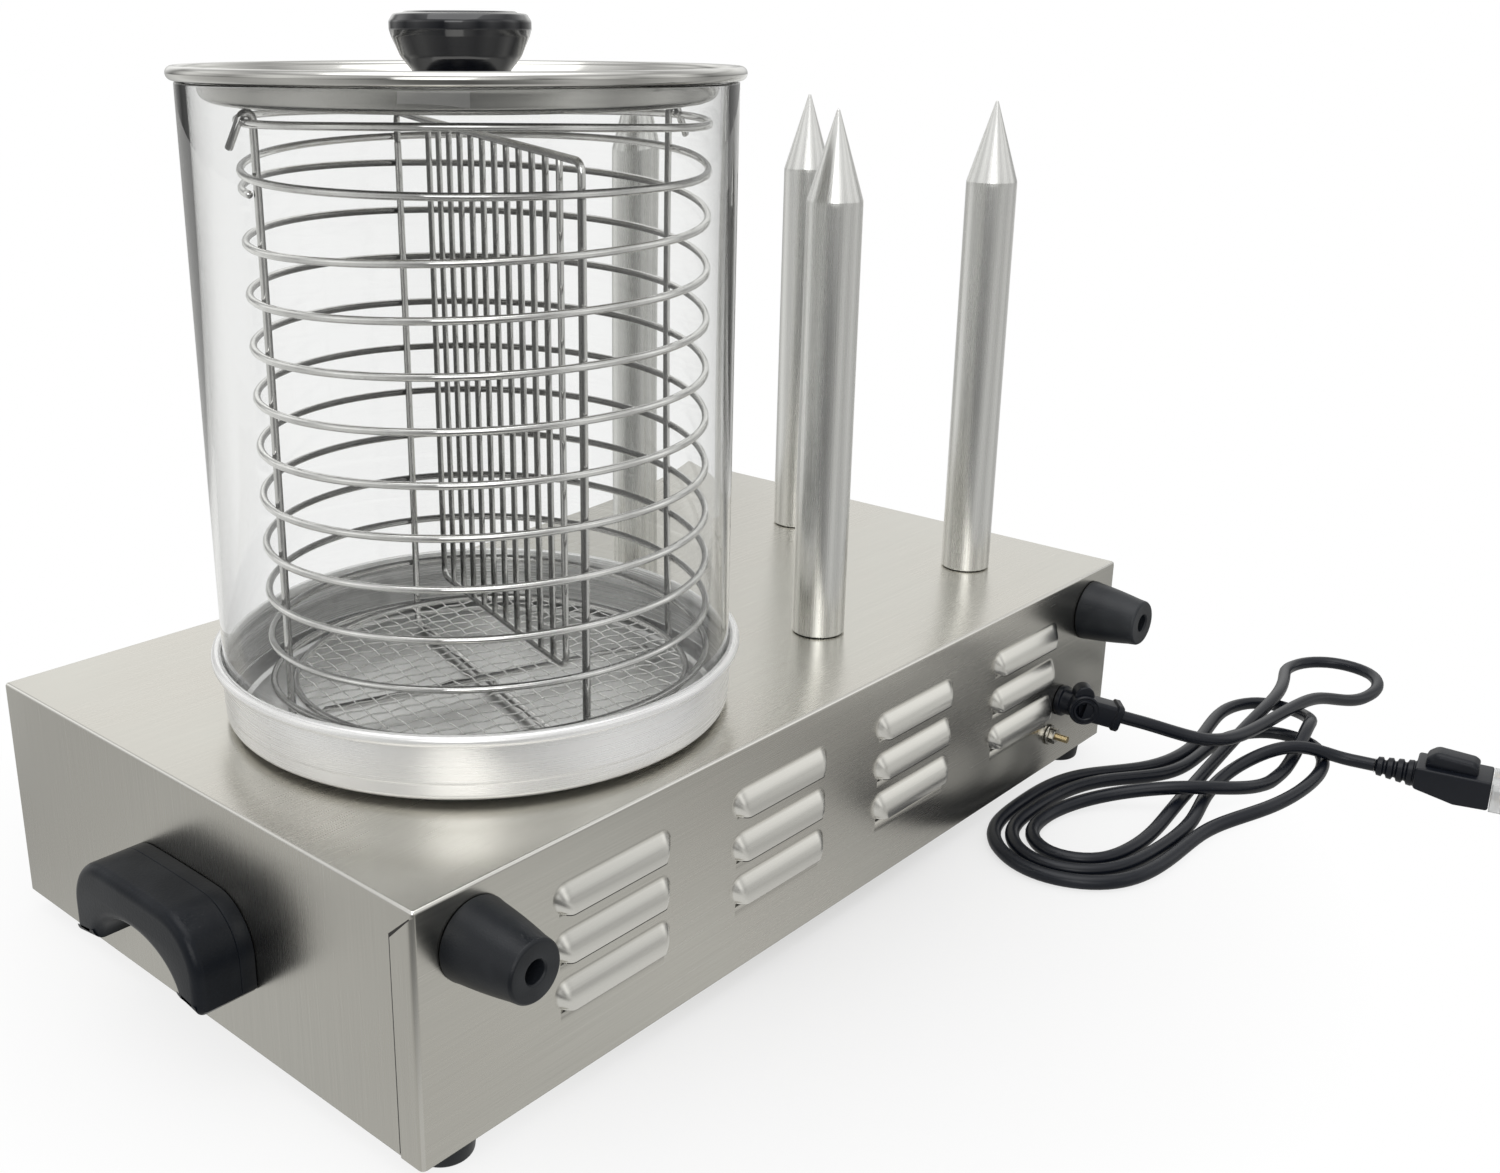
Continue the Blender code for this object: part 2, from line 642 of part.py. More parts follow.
def make_housing():
    """The cover: top, ends, front and rear of one folded sheet, with laps at its corners."""
    low = in_housing(-END, -HOUSING_WIDTH / 2, 0)
    high = in_housing(END, HOUSING_WIDTH / 2, HOUSING_HEIGHT)
    shape = bmesh.new()
    bmesh.ops.create_cube(shape, size=1.0)
    bmesh.ops.scale(shape, vec=high - low, verts=shape.verts)
    upper = [e for e in shape.edges if all(v.co.z > 0 for v in e.verts)]
    bmesh.ops.bevel(
        shape, geom=upper, offset=BEND_RADIUS, segments=3, profile=0.5, affect="EDGES"
    )
    cover = place("housing_cover", mesh_of("housing_cover", shape), STEEL, (low + high) / 2)
    for end in (-1, 1):
        for side in (-1, 1):
            combine(cover, lap_strip(end, side), "UNION")
    combine(cover, hoods("louvre_hoods", 0, 0), "UNION")
    inner_low = low + Vector((SHEET, SHEET, -OVERRUN))
    inner_high = high - Vector((SHEET, SHEET, SHEET))
    combine(cover, block("cover_hollow", inner_low, inner_high, cutter=True))
    combine(cover, hoods("louvre_hollows", SHEET, GAP))
    holes = [("heater_hole", HEATER_HOLE_RADIUS, PAN_X, PAN_Y, 48)]
    for i, (x, y) in enumerate(spike_places(), 1):
        holes.append((f"spike_hole_{i}", SPIKE_NECK_RADIUS + GAP, x, y, 24))
    for name, radius, x, y, sides in holes:
        middle = in_housing(x, y, HOUSING_HEIGHT)
        reach = Vector((0, 0, OVERRUN))
        combine(cover, rod(name, radius, middle - reach, middle + reach, sides=sides, cutter=True))
    through = Vector((0, OVERRUN, 0))
    for i, x in enumerate((-DIAL_X, DIAL_X), 1):
        middle = Vector((x, FRONT, CONTROL_Z))
        hole = rod(f"spindle_hole_{i}", SPINDLE_RADIUS + GAP, middle - through, middle + through, cutter=True)
        combine(cover, hole)
    for i, x in enumerate((-SWITCH_X, SWITCH_X), 1):
        middle = Vector((x, FRONT, CONTROL_Z))
        margin = SWITCH_BORDER - GAP
        half = Vector((SWITCH_WIDTH / 2 - margin, OVERRUN, SWITCH_HEIGHT / 2 - margin))
        combine(cover, block(f"switch_cutout_{i}", middle - half, middle + half, cutter=True))
    for name, x, level, radius in (
        ("gland_hole", GLAND_X, GLAND_LEVEL, GLAND_NECK_RADIUS + GAP),
        ("earth_hole", EARTH_X, EARTH_LEVEL, EARTH_RADIUS + GAP),
    ):
        middle = Vector((x, REAR, HOUSING_LOW + level))
        combine(cover, rod(name, radius, middle - through, middle + through, cutter=True))


def lap_strip(end, side):
    """The flange of the rear or front sheet that laps onto an end face, mitred at its top."""
    outline = [
        (0, 0),
        (LAP_WIDTH, 0),
        (LAP_WIDTH, HOUSING_HEIGHT - BEND_RADIUS - LAP_WIDTH),
        (0, HOUSING_HEIGHT - BEND_RADIUS),
    ]
    name = f"lap_strip_{'right' if end > 0 else 'left'}_{'rear' if side > 0 else 'front'}"
    shape = outline_solid(name, outline, LAP_PROUD + SHEET)
    turn = Matrix((
        (0, 0, end, end * (END + (LAP_PROUD - SHEET) / 2)),
        (-side, 0, 0, HOUSING_Y + side * HOUSING_WIDTH / 2),
        (0, 1, 0, HOUSING_LOW),
        (0, 0, 0, 1),
    ))
    bmesh.ops.transform(shape, matrix=turn, verts=shape.verts)
    return place(name, mesh_of(name, shape), None, cutter=True)


def make_base():
    """The base plate with its upturned lip, and the four rubber feet under it."""
    inset = SHEET + GAP
    low = in_housing(-END + inset, -HOUSING_WIDTH / 2 + inset, GAP)
    high = in_housing(END - inset, HOUSING_WIDTH / 2 - inset, BASE_LIP)
    plate = block("base_plate", low, high, STEEL)
    wall = Vector((SHEET, SHEET, SHEET))
    top = Vector((-SHEET, -SHEET, OVERRUN))
    combine(plate, block("base_hollow", low + wall, high + top, cutter=True))
    profile = [
        (0, FOOT_HEIGHT),
        (FOOT_RADIUS, FOOT_HEIGHT),
        (FOOT_RADIUS - FOOT_TAPER, FOOT_TAPER),
        (FOOT_RADIUS - 2 * FOOT_TAPER, 0),
        (0, 0),
    ]
    places = [(x, y) for x in (-1, 1) for y in (-1, 1)]
    for i, (x, y) in enumerate(places, 1):
        at = (x * (END - FOOT_END_INSET), HOUSING_Y + y * (HOUSING_WIDTH / 2 - FOOT_SIDE_INSET), 0)
        turned(f"foot_{i}", profile, at, RUBBER, 14)


def make_handle(name, end):
    """A moulded grip on an end panel: two feet joined by an arch with room for fingers beneath."""
    half = HANDLE_SPAN / 2
    inner = half - HANDLE_FOOT_WIDTH
    bend = HANDLE_SHOULDER
    shoulder = [
        (half - bend + bend * math.cos(a), HANDLE_TOP_LEVEL - bend + bend * math.sin(a))
        for a in np.radians(np.linspace(0, 90, 5))
    ]
    arch = [
        (inner * math.cos(a), HANDLE_FOOT_LEVEL + HANDLE_ARCH_RISE * math.sin(a))
        for a in np.radians(np.linspace(0, 180, 9))
    ]
    outer = [(half, HANDLE_FOOT_LEVEL), *shoulder]
    outline = outer + [(-y, z) for y, z in reversed(outer)] + arch[::-1]
    shape = outline_solid(name, outline, HANDLE_DEPTH)
    front = [e for e in shape.edges if all(v.co.z > 0 for v in e.verts)]
    bmesh.ops.bevel(
        shape, geom=front, offset=HANDLE_ROUND, segments=2, profile=0.5, affect="EDGES", clamp_overlap=True
    )
    turn = Matrix((
        (0, 0, end, end * (END + GAP + HANDLE_DEPTH / 2)),
        (end, 0, 0, HOUSING_Y),
        (0, 1, 0, HOUSING_LOW),
        (0, 0, 0, 1),
    ))
    bmesh.ops.transform(shape, matrix=turn, verts=shape.verts)
    place(name, mesh_of(name, shape), BLACK)


def make_bumpers():
    """Two tapered rubber bumpers on the rear, each with its screw well."""
    rim = BUMPER_EDGE
    profile = [
        (BUMPER_HOLE_RADIUS, BUMPER_LENGTH),
        (BUMPER_TIP_RADIUS - rim, BUMPER_LENGTH),
        (BUMPER_TIP_RADIUS, BUMPER_LENGTH - rim),
        (BUMPER_BASE_RADIUS, rim),
        (BUMPER_BASE_RADIUS, 0),
        (0, 0),
        (0, BUMPER_LENGTH - BUMPER_HOLE_DEPTH),
        (BUMPER_HOLE_RADIUS, BUMPER_LENGTH - BUMPER_HOLE_DEPTH),
    ]
    for name, side in (("bumper_left", 1), ("bumper_right", -1)):
        at = (side * (END - BUMPER_INSET), REAR + GAP, HOUSING_LOW + BUMPER_LEVEL)
        turned(name, profile, at, RUBBER, 22, closed=True, axis="Y")


def make_pan():
    """The spun water pan, its gasket, its heater plate, and the clamp bar and nut that hold it up."""
    bead_level = PAN_TOP - PAN_BEAD_RADIUS - PAN_BASE
    inner = PAN_RADIUS - PAN_WALL
    bead_start = math.degrees(math.acos((inner - PAN_RADIUS) / PAN_BEAD_RADIUS))
    profile = [
        (0, PAN_WALL),
        (PAN_STEP_RADIUS, PAN_WALL),
        (PAN_STEP_RADIUS + PAN_LEDGE, PAN_WALL + PAN_LEDGE),
        (inner, PAN_WALL + PAN_LEDGE),
        *arc((PAN_RADIUS, bead_level), PAN_BEAD_RADIUS, bead_start, -90, 6),
        *arc((PAN_RADIUS - PAN_CORNER, PAN_CORNER), PAN_CORNER, 0, -90, 4),
        (PAN_STUD_RADIUS, 0),
        (PAN_STUD_RADIUS, -stud_length()),
        (0, -stud_length()),
    ]
    turned("water_pan", profile, (PAN_X, PAN_CENTRE_Y, PAN_BASE), SATIN)
    ring = [
        (GASKET_OUTER_RADIUS, GASKET_THICKNESS),
        (GASKET_OUTER_RADIUS, 0),
        (GASKET_INNER_RADIUS, 0),
        (GASKET_INNER_RADIUS, GASKET_THICKNESS),
    ]
    turned("pan_gasket", ring, (PAN_X, PAN_CENTRE_Y, HOUSING_TOP + GAP), GASKET_GREY, 28, closed=True)
    bore = PAN_STUD_RADIUS + GAP
    heater = [
        (HEATER_RADIUS, 0),
        (HEATER_RADIUS, -HEATER_THICKNESS),
        (bore, -HEATER_THICKNESS),
        (bore, 0),
    ]
    turned("pan_heater", heater, (PAN_X, PAN_CENTRE_Y, PAN_BASE - GAP), SATIN, 28, closed=True)
    make_clamp(bore)


def clamp_top():
    """The level at which the clamp bar presses on the heater plate."""
    return PAN_BASE - GAP - HEATER_THICKNESS - GAP


def stud_length():
    """The pan's stud reaches through the heater, the bar and the nut."""
    return PAN_BASE - (clamp_top() - CLAMP_THICKNESS - GAP - NUT_HEIGHT)


def make_clamp(bore):
    """A bar across the heater hole, with raised ends that bear on the top sheet, and its nut."""
    reach = HEATER_HOLE_RADIUS + CLAMP_BEARING
    half = CLAMP_WIDTH / 2
    middle = Vector((PAN_X, PAN_CENTRE_Y, clamp_top()))
    bar = block(
        "heater_clamp",
        middle + Vector((-reach, -half, -CLAMP_THICKNESS)),
        middle + Vector((reach, half, 0)),
        STEEL,
    )
    bearing = HOUSING_TOP - SHEET - GAP - clamp_top()
    for name, side in (("clamp_end_left", 1), ("clamp_end_right", -1)):
        outer, inner = side * reach, side * (reach - CLAMP_BEARING + SHEET)
        low = middle + Vector((min(outer, inner), -half, -CLAMP_THICKNESS))
        high = middle + Vector((max(outer, inner), half, bearing))
        combine(bar, block(name, low, high, cutter=True), "UNION")
    through = Vector((0, 0, OVERRUN))
    combine(bar, rod("clamp_bore", bore, middle - through, middle + through, cutter=True))
    top = middle - Vector((0, 0, CLAMP_THICKNESS + GAP))
    hexagon_nut("clamp_nut", top, NUT_RADIUS, NUT_HEIGHT, bore)


def hexagon_nut(name, top, radius, height, bore, material=STEEL):
    """A hexagon nut hanging below a point, with a round bore."""
    down = Vector((0, 0, -height))
    nut = rod(name, radius, top, top + down, material, sides=6)
    through = Vector((0, 0, OVERRUN))
    hole = rod(name + "_bore", bore, top + through, top + down - through, sides=24, cutter=True)
    combine(nut, hole)


def make_glass():
    """The glass cylinder with ground edges, standing on the pan's ledge."""
    inner = GLASS_RADIUS - GLASS_WALL
    profile = [
        (GLASS_RADIUS - GLASS_EDGE, GLASS_HEIGHT),
        (GLASS_RADIUS, GLASS_HEIGHT - GLASS_EDGE),
        (GLASS_RADIUS, GLASS_EDGE),
        (GLASS_RADIUS - GLASS_EDGE, 0),
        (inner + GLASS_EDGE, 0),
        (inner, GLASS_EDGE),
        (inner, GLASS_HEIGHT - GLASS_EDGE),
        (inner + GLASS_EDGE, GLASS_HEIGHT),
    ]
    turned("glass_cylinder", profile, (PAN_X, PAN_CENTRE_Y, GLASS_LOW), GLASS, 48, closed=True)


def make_lid():
    """The dished lid whose rolled bead rests on the glass, its knob and the knob's screw."""
    bead_radius = GLASS_RADIUS - GLASS_WALL / 2 + LID_SHEET
    bead = LID_BEAD_LEVEL
    skirt, dish, seat = LID_SKIRT_RADIUS, LID_DISH_LEVEL, LID_SEAT_LEVEL
    hole = LID_SCREW_RADIUS + GAP
    corner = LID_CORNER
    upper = [
        (hole, seat + LID_SHEET),
        (LID_SEAT_RADIUS, seat + LID_SHEET),
        (skirt - LID_SHEET - corner, dish + LID_SHEET),
        (skirt - LID_SHEET, dish + corner),
    ]
    lower = [
        (skirt, dish + corner),
        (skirt - corner, dish),
        (LID_SEAT_RADIUS, seat),
        (hole, seat),
    ]
    turn = 180 - LID_BEAD_OPENING
    rolled = arc((bead_radius, bead), LID_BEAD_RADIUS, turn, -turn, 9)
    profile = [*upper, *rolled, *lower]
    turned("lid", profile, (PAN_X, PAN_CENTRE_Y, 0), LID_STEEL, closed=True)
    collar, neck, wide = KNOB_COLLAR_RADIUS, KNOB_NECK_RADIUS, KNOB_RADIUS
    body = [(wide * r, h) for r, h in zip(KNOB_RADIUS_SHARES, KNOB_HEIGHT_SHARES)]
    root = [(neck, h) for h in KNOB_NECK_SHARES] + [(collar, h) for h in KNOB_COLLAR_SHARES]
    knob = [
        (0, KNOB_HEIGHT),
        *[(r, share * KNOB_HEIGHT) for r, share in body + root],
        (KNOB_BORE_RADIUS, 0),
        (KNOB_BORE_RADIUS, KNOB_BORE_DEPTH),
        (0, KNOB_BORE_DEPTH),
    ]
    turned("lid_knob", knob, (PAN_X, PAN_CENTRE_Y, KNOB_LEVEL), KNOB_BLACK, 26)
    head_top = seat - GAP
    screw = [
        (0, KNOB_LEVEL + KNOB_BORE_DEPTH - GAP),
        (LID_SCREW_RADIUS, KNOB_LEVEL + KNOB_BORE_DEPTH - GAP),
        (LID_SCREW_RADIUS, head_top),
        (LID_SCREW_HEAD_RADIUS, head_top),
        (LID_SCREW_HEAD_RADIUS, head_top - LID_SCREW_HEAD_HEIGHT),
        (0, head_top - LID_SCREW_HEAD_HEIGHT),
    ]
    turned("lid_screw", screw, (PAN_X, PAN_CENTRE_Y, 0), STEEL, 16)


def spike_places():
    """The four spikes, from the housing's middle."""
    return [(x, y) for x in SPIKE_XS for y in SPIKE_YS]


def make_spikes():
    """Four hollow spikes, their nuts under the top sheet and their cartridge heaters."""
    base = HOUSING_TOP + GAP
    bore_top = SPIKE_HEIGHT - SPIKE_CONE - SPIKE_NECK_LENGTH
    cone_base = SPIKE_HEIGHT - SPIKE_CONE
    neck_end = -SHEET - GAP - SPIKE_NECK_LENGTH
    profile = [
        (0, SPIKE_HEIGHT),
        (SPIKE_TIP_RADIUS, SPIKE_HEIGHT - SPIKE_TIP_RADIUS),
        (SPIKE_RADIUS, cone_base),
        (SPIKE_RADIUS, 0),
        (SPIKE_NECK_RADIUS, 0),
        (SPIKE_NECK_RADIUS, neck_end),
        (SPIKE_BORE_RADIUS, neck_end),
        (SPIKE_BORE_RADIUS, bore_top),
        (0, bore_top),
    ]
    for i, (x, y) in enumerate(spike_places(), 1):
        at = in_housing(x, y, HOUSING_HEIGHT + GAP)
        turned(f"spike_{i}", profile, at, SATIN, 20)
        nut_top = Vector((at.x, at.y, HOUSING_TOP - SHEET - GAP))
        hexagon_nut(f"spike_nut_{i}", nut_top, SPIKE_NUT_RADIUS, SPIKE_NUT_HEIGHT, SPIKE_NECK_RADIUS + GAP)
        low = Vector((at.x, at.y, base + neck_end - CARTRIDGE_TAIL))
        high = Vector((at.x, at.y, base + bore_top - GAP))
        rod(f"spike_heater_{i}", SPIKE_BORE_RADIUS - GAP, low, high, STEEL, sides=16)


def round_ring(radius, level, tilt=0.0, tilt_turn=0.0):
    """Points of a ring about the basket's axis, higher by tilt towards tilt_turn."""
    a = HOOK_ROD_TURN + np.linspace(0, 2 * math.pi, RING_POINTS, endpoint=False)
    return np.stack(
        [
            BASKET_X + radius * np.cos(a),
            BASKET_Y + radius * np.sin(a),
            level + tilt * np.cos(a - tilt_turn),
        ],
        1,
    )


def coil_points():
    """The coil rises anticlockwise from above the tray to its weld on a hook rod."""
    top_turn = HOOK_ROD_TURN
    count = int(round(COIL_TURNS * COIL_POINTS_PER_TURN)) + 1
    back = np.linspace(COIL_TURNS, 0, count)
    a = top_turn - 2 * math.pi * back
    return np.stack(
        [
            BASKET_X + COIL_RADIUS * np.cos(a),
            BASKET_Y + COIL_RADIUS * np.sin(a),
            COIL_TOP_LEVEL - COIL_PITCH * back,
        ],
        1,
    )


def along(turn, reach, level):
    """A point at a reach from the basket's axis along a turn."""
    return (BASKET_X + reach * math.cos(turn), BASKET_Y + reach * math.sin(turn), level)


def rod_foot(turn, cross_level):
    """From a rod's lower end, round its foot and in to the wire that crosses under the tray."""
    low = BASKET_LOW + ROD_RADIUS
    outer = ROD_CIRCLE
    bend = 2 * ROD_RADIUS
    return [
        along(turn, outer, low + bend),
        along(turn, outer - bend / 3, low + bend / 3),
        along(turn, outer - bend, low),
        along(turn, outer - ROD_FOOT_RUN / 2, low),
        along(turn, outer - ROD_FOOT_RUN, cross_level),
    ]


def hook(turn):
    """The hook at a rod's top: over, outwards and down."""
    ring = TOP_RING_LEVEL + TOP_RING_TILT * math.cos(turn - TOP_RING_TURN)
    top = ring + COIL_WIRE_RADIUS + GAP + ROD_RADIUS
    inner, outer = ROD_CIRCLE, ROD_CIRCLE + HOOK_REACH
    return [
        along(turn, outer, top - HOOK_DROP),
        along(turn, outer - ROD_RADIUS / 4, top - 2 * ROD_RADIUS),
        along(turn, outer - ROD_RADIUS, top),
        along(turn, inner + ROD_RADIUS, top),
        along(turn, inner, top - ROD_RADIUS),
    ]


def make_basket():
    """The wire basket: coil, two rings, two crossing U wires, and the tray with its net."""
    coil = coil_points()
    wire("basket_coil", coil, COIL_WIRE_RADIUS, CHROME)
    print("basket_coil: least gap to itself", round(least_gap(coil, COIL_WIRE_RADIUS, COIL_RADIUS), 5), "m")
    second = round_ring(COIL_RADIUS, SECOND_RING_LEVEL)
    wire("basket_second_ring", second, COIL_WIRE_RADIUS, CHROME, closed=True)
    top = round_ring(COIL_RADIUS, TOP_RING_LEVEL, TOP_RING_TILT, TOP_RING_TURN)
    wire("basket_top_ring", top, COIL_WIRE_RADIUS, CHROME, closed=True)
    opposite = HOOK_ROD_TURN + math.pi
    points = [
        *hook(HOOK_ROD_TURN),
        *rod_foot(HOOK_ROD_TURN, HOOK_CROSS_LEVEL),
        *rod_foot(opposite, HOOK_CROSS_LEVEL)[::-1],
        *hook(opposite)[::-1],
    ]
    wire("basket_hook_wire", points, ROD_RADIUS, CHROME)
    opposite = PLAIN_ROD_TURN + math.pi
    points = [
        along(PLAIN_ROD_TURN, ROD_CIRCLE, PLAIN_ROD_LEVEL),
        *rod_foot(PLAIN_ROD_TURN, PLAIN_CROSS_LEVEL),
        *rod_foot(opposite, PLAIN_CROSS_LEVEL)[::-1],
        along(opposite, ROD_CIRCLE, PLAIN_ROD_LEVEL),
    ]
    wire("basket_plain_wire", points, ROD_RADIUS, CHROME)
    wire("tray_rim", round_ring(TRAY_RADIUS, TRAY_LEVEL), COIL_WIRE_RADIUS, CHROME, closed=True)
    make_net()


def make_net():
    """The tray's net: a thin disc with square gaps between its bars."""
    radius = TRAY_RADIUS * math.cos(math.pi / RING_POINTS) - COIL_WIRE_RADIUS - GAP
    half = Vector((0, 0, NET_THICKNESS / 2))
    middle = Vector((BASKET_X, BASKET_Y, TRAY_LEVEL))
    net = rod("tray_net", radius, middle - half, middle + half, CHROME, sides=48)
    inner = radius - NET_BAR
    shape = bmesh.new()
    count = int(inner // NET_PITCH) + 1
    middles = [(i + 0.5) * NET_PITCH for i in range(-count, count)]
    places = [(x, y) for x in middles for y in middles]
    opening = NET_PITCH - NET_BAR
    gaps = 0
    for x, y in places:
        nearest = math.hypot(max(abs(x) - opening / 2, 0), max(abs(y) - opening / 2, 0))
        if nearest > inner - 2 * NET_BAR:
            continue
        made = bmesh.ops.create_cube(shape, size=1.0)["verts"]
        bmesh.ops.scale(shape, verts=made, vec=(opening, opening, NET_THICKNESS + 2 * NET_BAR))
        bmesh.ops.translate(shape, verts=made, vec=(x, y, 0))
        gaps += 1
    print("tray_net:", gaps, "gaps")
    gaps_tool = place("net_gaps", mesh_of("net_gaps", shape), None, middle, cutter=True)
    gaps_tool.rotation_euler = (0, 0, PLAIN_ROD_TURN)
    reach = Vector((0, 0, NET_THICKNESS + NET_BAR))
    border = rod("net_border", inner, middle - reach, middle + reach, sides=48, cutter=True)
    combine(gaps_tool, border, "INTERSECT")
    combine(net, gaps_tool)


def make_divider():
    """The flat wire divider across the basket, whose rail stands on the tops of the plain rods."""
    low = HOUSING_TOP + DIVIDER_BOTTOM_LEVEL
    high = SECOND_RING_LEVEL + DIVIDER_RAIL_RISE
    turn = PLAIN_ROD_TURN
    tip = PLAIN_ROD_LEVEL + GAP
    reach, corner = ROD_CIRCLE, DIVIDER_CORNER
    rail = [
        along(turn, -reach, tip),
        along(turn, -reach, high - corner),
        along(turn, -reach + corner, high),
        along(turn, reach - corner, high),
        along(turn, reach, high - corner),
        along(turn, reach, tip),
    ]
    divider = solid_wire("divider", rail, DIVIDER_RAIL_RADIUS, CHROME)
    first = DIVIDER_ROD_MIDDLE - DIVIDER_ROD_PITCH * (DIVIDER_RODS - 1) / 2
    last = first + DIVIDER_ROD_PITCH * (DIVIDER_RODS - 1)
    frame = [
        along(turn, first, high),
        along(turn, first, low + corner),
        along(turn, first + corner, low),
        along(turn, last - corner, low),
        along(turn, last, low + corner),
        along(turn, last, high),
    ]
    combine(divider, solid_wire("divider_frame", frame, DIVIDER_FRAME_RADIUS, cutter=True), "UNION")
    shape = bmesh.new()
    for i in range(1, DIVIDER_RODS - 1):
        made = bmesh.ops.create_cone(
            shape,
            cap_ends=True,
            segments=6,
            radius1=DIVIDER_BAR_RADIUS,
            radius2=DIVIDER_BAR_RADIUS,
            depth=high - low,
        )["verts"]
        middle = along(turn, first + DIVIDER_ROD_PITCH * i, (low + high) / 2)
        bmesh.ops.translate(shape, verts=made, vec=middle)
    combine(divider, place("divider_bars", mesh_of("divider_bars", shape), None, cutter=True), "UNION")


def make_controls():
    """Two thermostats with their knobs, and two lit rocker switches, on the front panel."""
    inside = FRONT + SHEET + GAP
    for i, x in enumerate((-DIAL_X, DIAL_X), 1):
        half = THERMOSTAT_WIDTH / 2
        body = block(
            f"thermostat_{i}",
            (x - half, inside, CONTROL_Z - half),
            (x + half, inside + THERMOSTAT_DEPTH, CONTROL_Z + half),
            CREAM,
        )
        start = Vector((x, inside + SHEET, CONTROL_Z))
        end = Vector((x, FRONT - GAP - SPINDLE_LENGTH, CONTROL_Z))
        combine(body, rod(f"spindle_{i}", SPINDLE_RADIUS, start, end, sides=20, cutter=True), "UNION")
        make_dial(f"thermostat_knob_{i}", x)
    for i, x in enumerate((-SWITCH_X, SWITCH_X), 1):
        make_switch(i, x)


def make_dial(name, x):
    """A skirted knob with a pointer ridge, bored for its spindle."""
    depth = SPINDLE_LENGTH + GAP
    bore = SPINDLE_RADIUS + GAP
    neck = DIAL_RADIUS - DIAL_SKIRT / 2
    profile = [
        (0, DIAL_HEIGHT),
        (neck - DIAL_SKIRT / 2, DIAL_HEIGHT),
        (neck - DIAL_SKIRT / 4, DIAL_HEIGHT - DIAL_SKIRT / 4),
        (neck, DIAL_SKIRT),
        (DIAL_RADIUS, DIAL_SKIRT_EDGE),
        (DIAL_RADIUS, 0),
        (bore, 0),
        (bore, depth),
        (0, depth),
    ]
    knob = turned(name, profile, (x, FRONT - GAP, CONTROL_Z), BLACK, 22, axis="-Y")
    half, face = DIAL_RIDGE_WIDTH / 2, FRONT - GAP - DIAL_HEIGHT
    below, above = (neck * share for share in DIAL_RIDGE_SHARES)
    ridge = block(
        name + "_ridge",
        (x - half, face - DIAL_RIDGE_HEIGHT, CONTROL_Z - below),
        (x + half, face + DIAL_RIDGE_HEIGHT, CONTROL_Z + above),
        cutter=True,
    )
    combine(knob, ridge, "UNION")


def make_switch(i, x):
    """A snap-in switch body with a flange and a pocket, and the rocker that pivots in it."""
    face = FRONT - GAP - SWITCH_FLANGE
    half = Vector((SWITCH_WIDTH / 2, 0, SWITCH_HEIGHT / 2))
    middle = Vector((x, 0, CONTROL_Z))
    body = block(
        f"switch_body_{i}",
        middle - half + Vector((0, face, 0)),
        middle + half + Vector((0, FRONT - GAP, 0)),
        BLACK,
    )
    slim = half - Vector((SWITCH_BORDER, 0, SWITCH_BORDER))
    stem = block(
        f"switch_stem_{i}",
        middle - slim + Vector((0, face + GAP, 0)),
        middle + slim + Vector((0, face + SWITCH_DEPTH, 0)),
        cutter=True,
    )
    combine(body, stem, "UNION")
    pivot = face + ROCKER_SINK
    sweep = math.hypot(ROCKER_HEIGHT / 2, ROCKER_RISE) + GAP
    depth = ROCKER_ROOT + ROCKER_HEIGHT / 2 * math.sin(ROCKER_TILT) + GAP
    pocket = Vector((ROCKER_WIDTH / 2 + GAP, 0, sweep))
    hollow = block(
        f"switch_pocket_{i}",
        middle - pocket + Vector((0, face - OVERRUN, 0)),
        middle + pocket + Vector((0, pivot + depth, 0)),
        cutter=True,
    )
    combine(body, hollow)
    reach = ROCKER_HEIGHT / 2
    outline = [
        (-ROCKER_ROOT, -reach),
        (ROCKER_RISE, -reach),
        (ROCKER_WAIST, 0),
        (ROCKER_RISE, reach),
        (-ROCKER_ROOT, reach),
    ]
    shape = outline_solid(f"switch_rocker_{i}", outline, ROCKER_WIDTH)
    turn = Matrix(((0, 0, 1), (-1, 0, 0), (0, 1, 0))).to_4x4()
    bmesh.ops.transform(shape, matrix=turn, verts=shape.verts)
    rocker = place(f"switch_rocker_{i}", mesh_of(f"switch_rocker_{i}", shape), RED, (x, pivot, CONTROL_Z))
    rocker.rotation_euler = (ROCKER_TILT, 0, 0)


def make_wiring():
    """The terminal block on the base plate, and the earth stud on the rear."""
    low = Vector((TERMINAL_X - TERMINAL_LENGTH / 2, REAR - TERMINAL_INSET, HOUSING_LOW + GAP + SHEET + GAP))
    high = low + Vector((TERMINAL_LENGTH, TERMINAL_WIDTH, TERMINAL_HEIGHT))
    strip = block("terminal_block", low, high, CREAM)
    for i, step in enumerate((-1, 0, 1), 1):
        middle = (low + high) / 2 + Vector((step * TERMINAL_BORE_PITCH, 0, 0))
        half = Vector((0, TERMINAL_WIDTH, 0))
        bore = rod(
            f"terminal_bore_{i}", TERMINAL_BORE_RADIUS, middle - half, middle + half, sides=8, cutter=True
        )
        combine(strip, bore)
    washer_end = GAP + EARTH_WASHER
    nut_end = washer_end + EARTH_NUT_HEIGHT
    profile = [
        (0, EARTH_REACH),
        (EARTH_RADIUS, EARTH_REACH),
        (EARTH_RADIUS, washer_end),
        (EARTH_WASHER_RADIUS, washer_end),
        (EARTH_WASHER_RADIUS, GAP),
        (EARTH_RADIUS, GAP),
        (EARTH_RADIUS, -EARTH_INNER_REACH),
        (0, -EARTH_INNER_REACH),
    ]
    at = Vector((EARTH_X, REAR, HOUSING_LOW + EARTH_LEVEL))
    stud = turned("earth_stud", profile, at, BRASS, 16, axis="Y")
    start, end = at + Vector((0, washer_end - GAP, 0)), at + Vector((0, nut_end, 0))
    combine(stud, rod("earth_nut", EARTH_NUT_RADIUS, start, end, sides=6, cutter=True), "UNION")


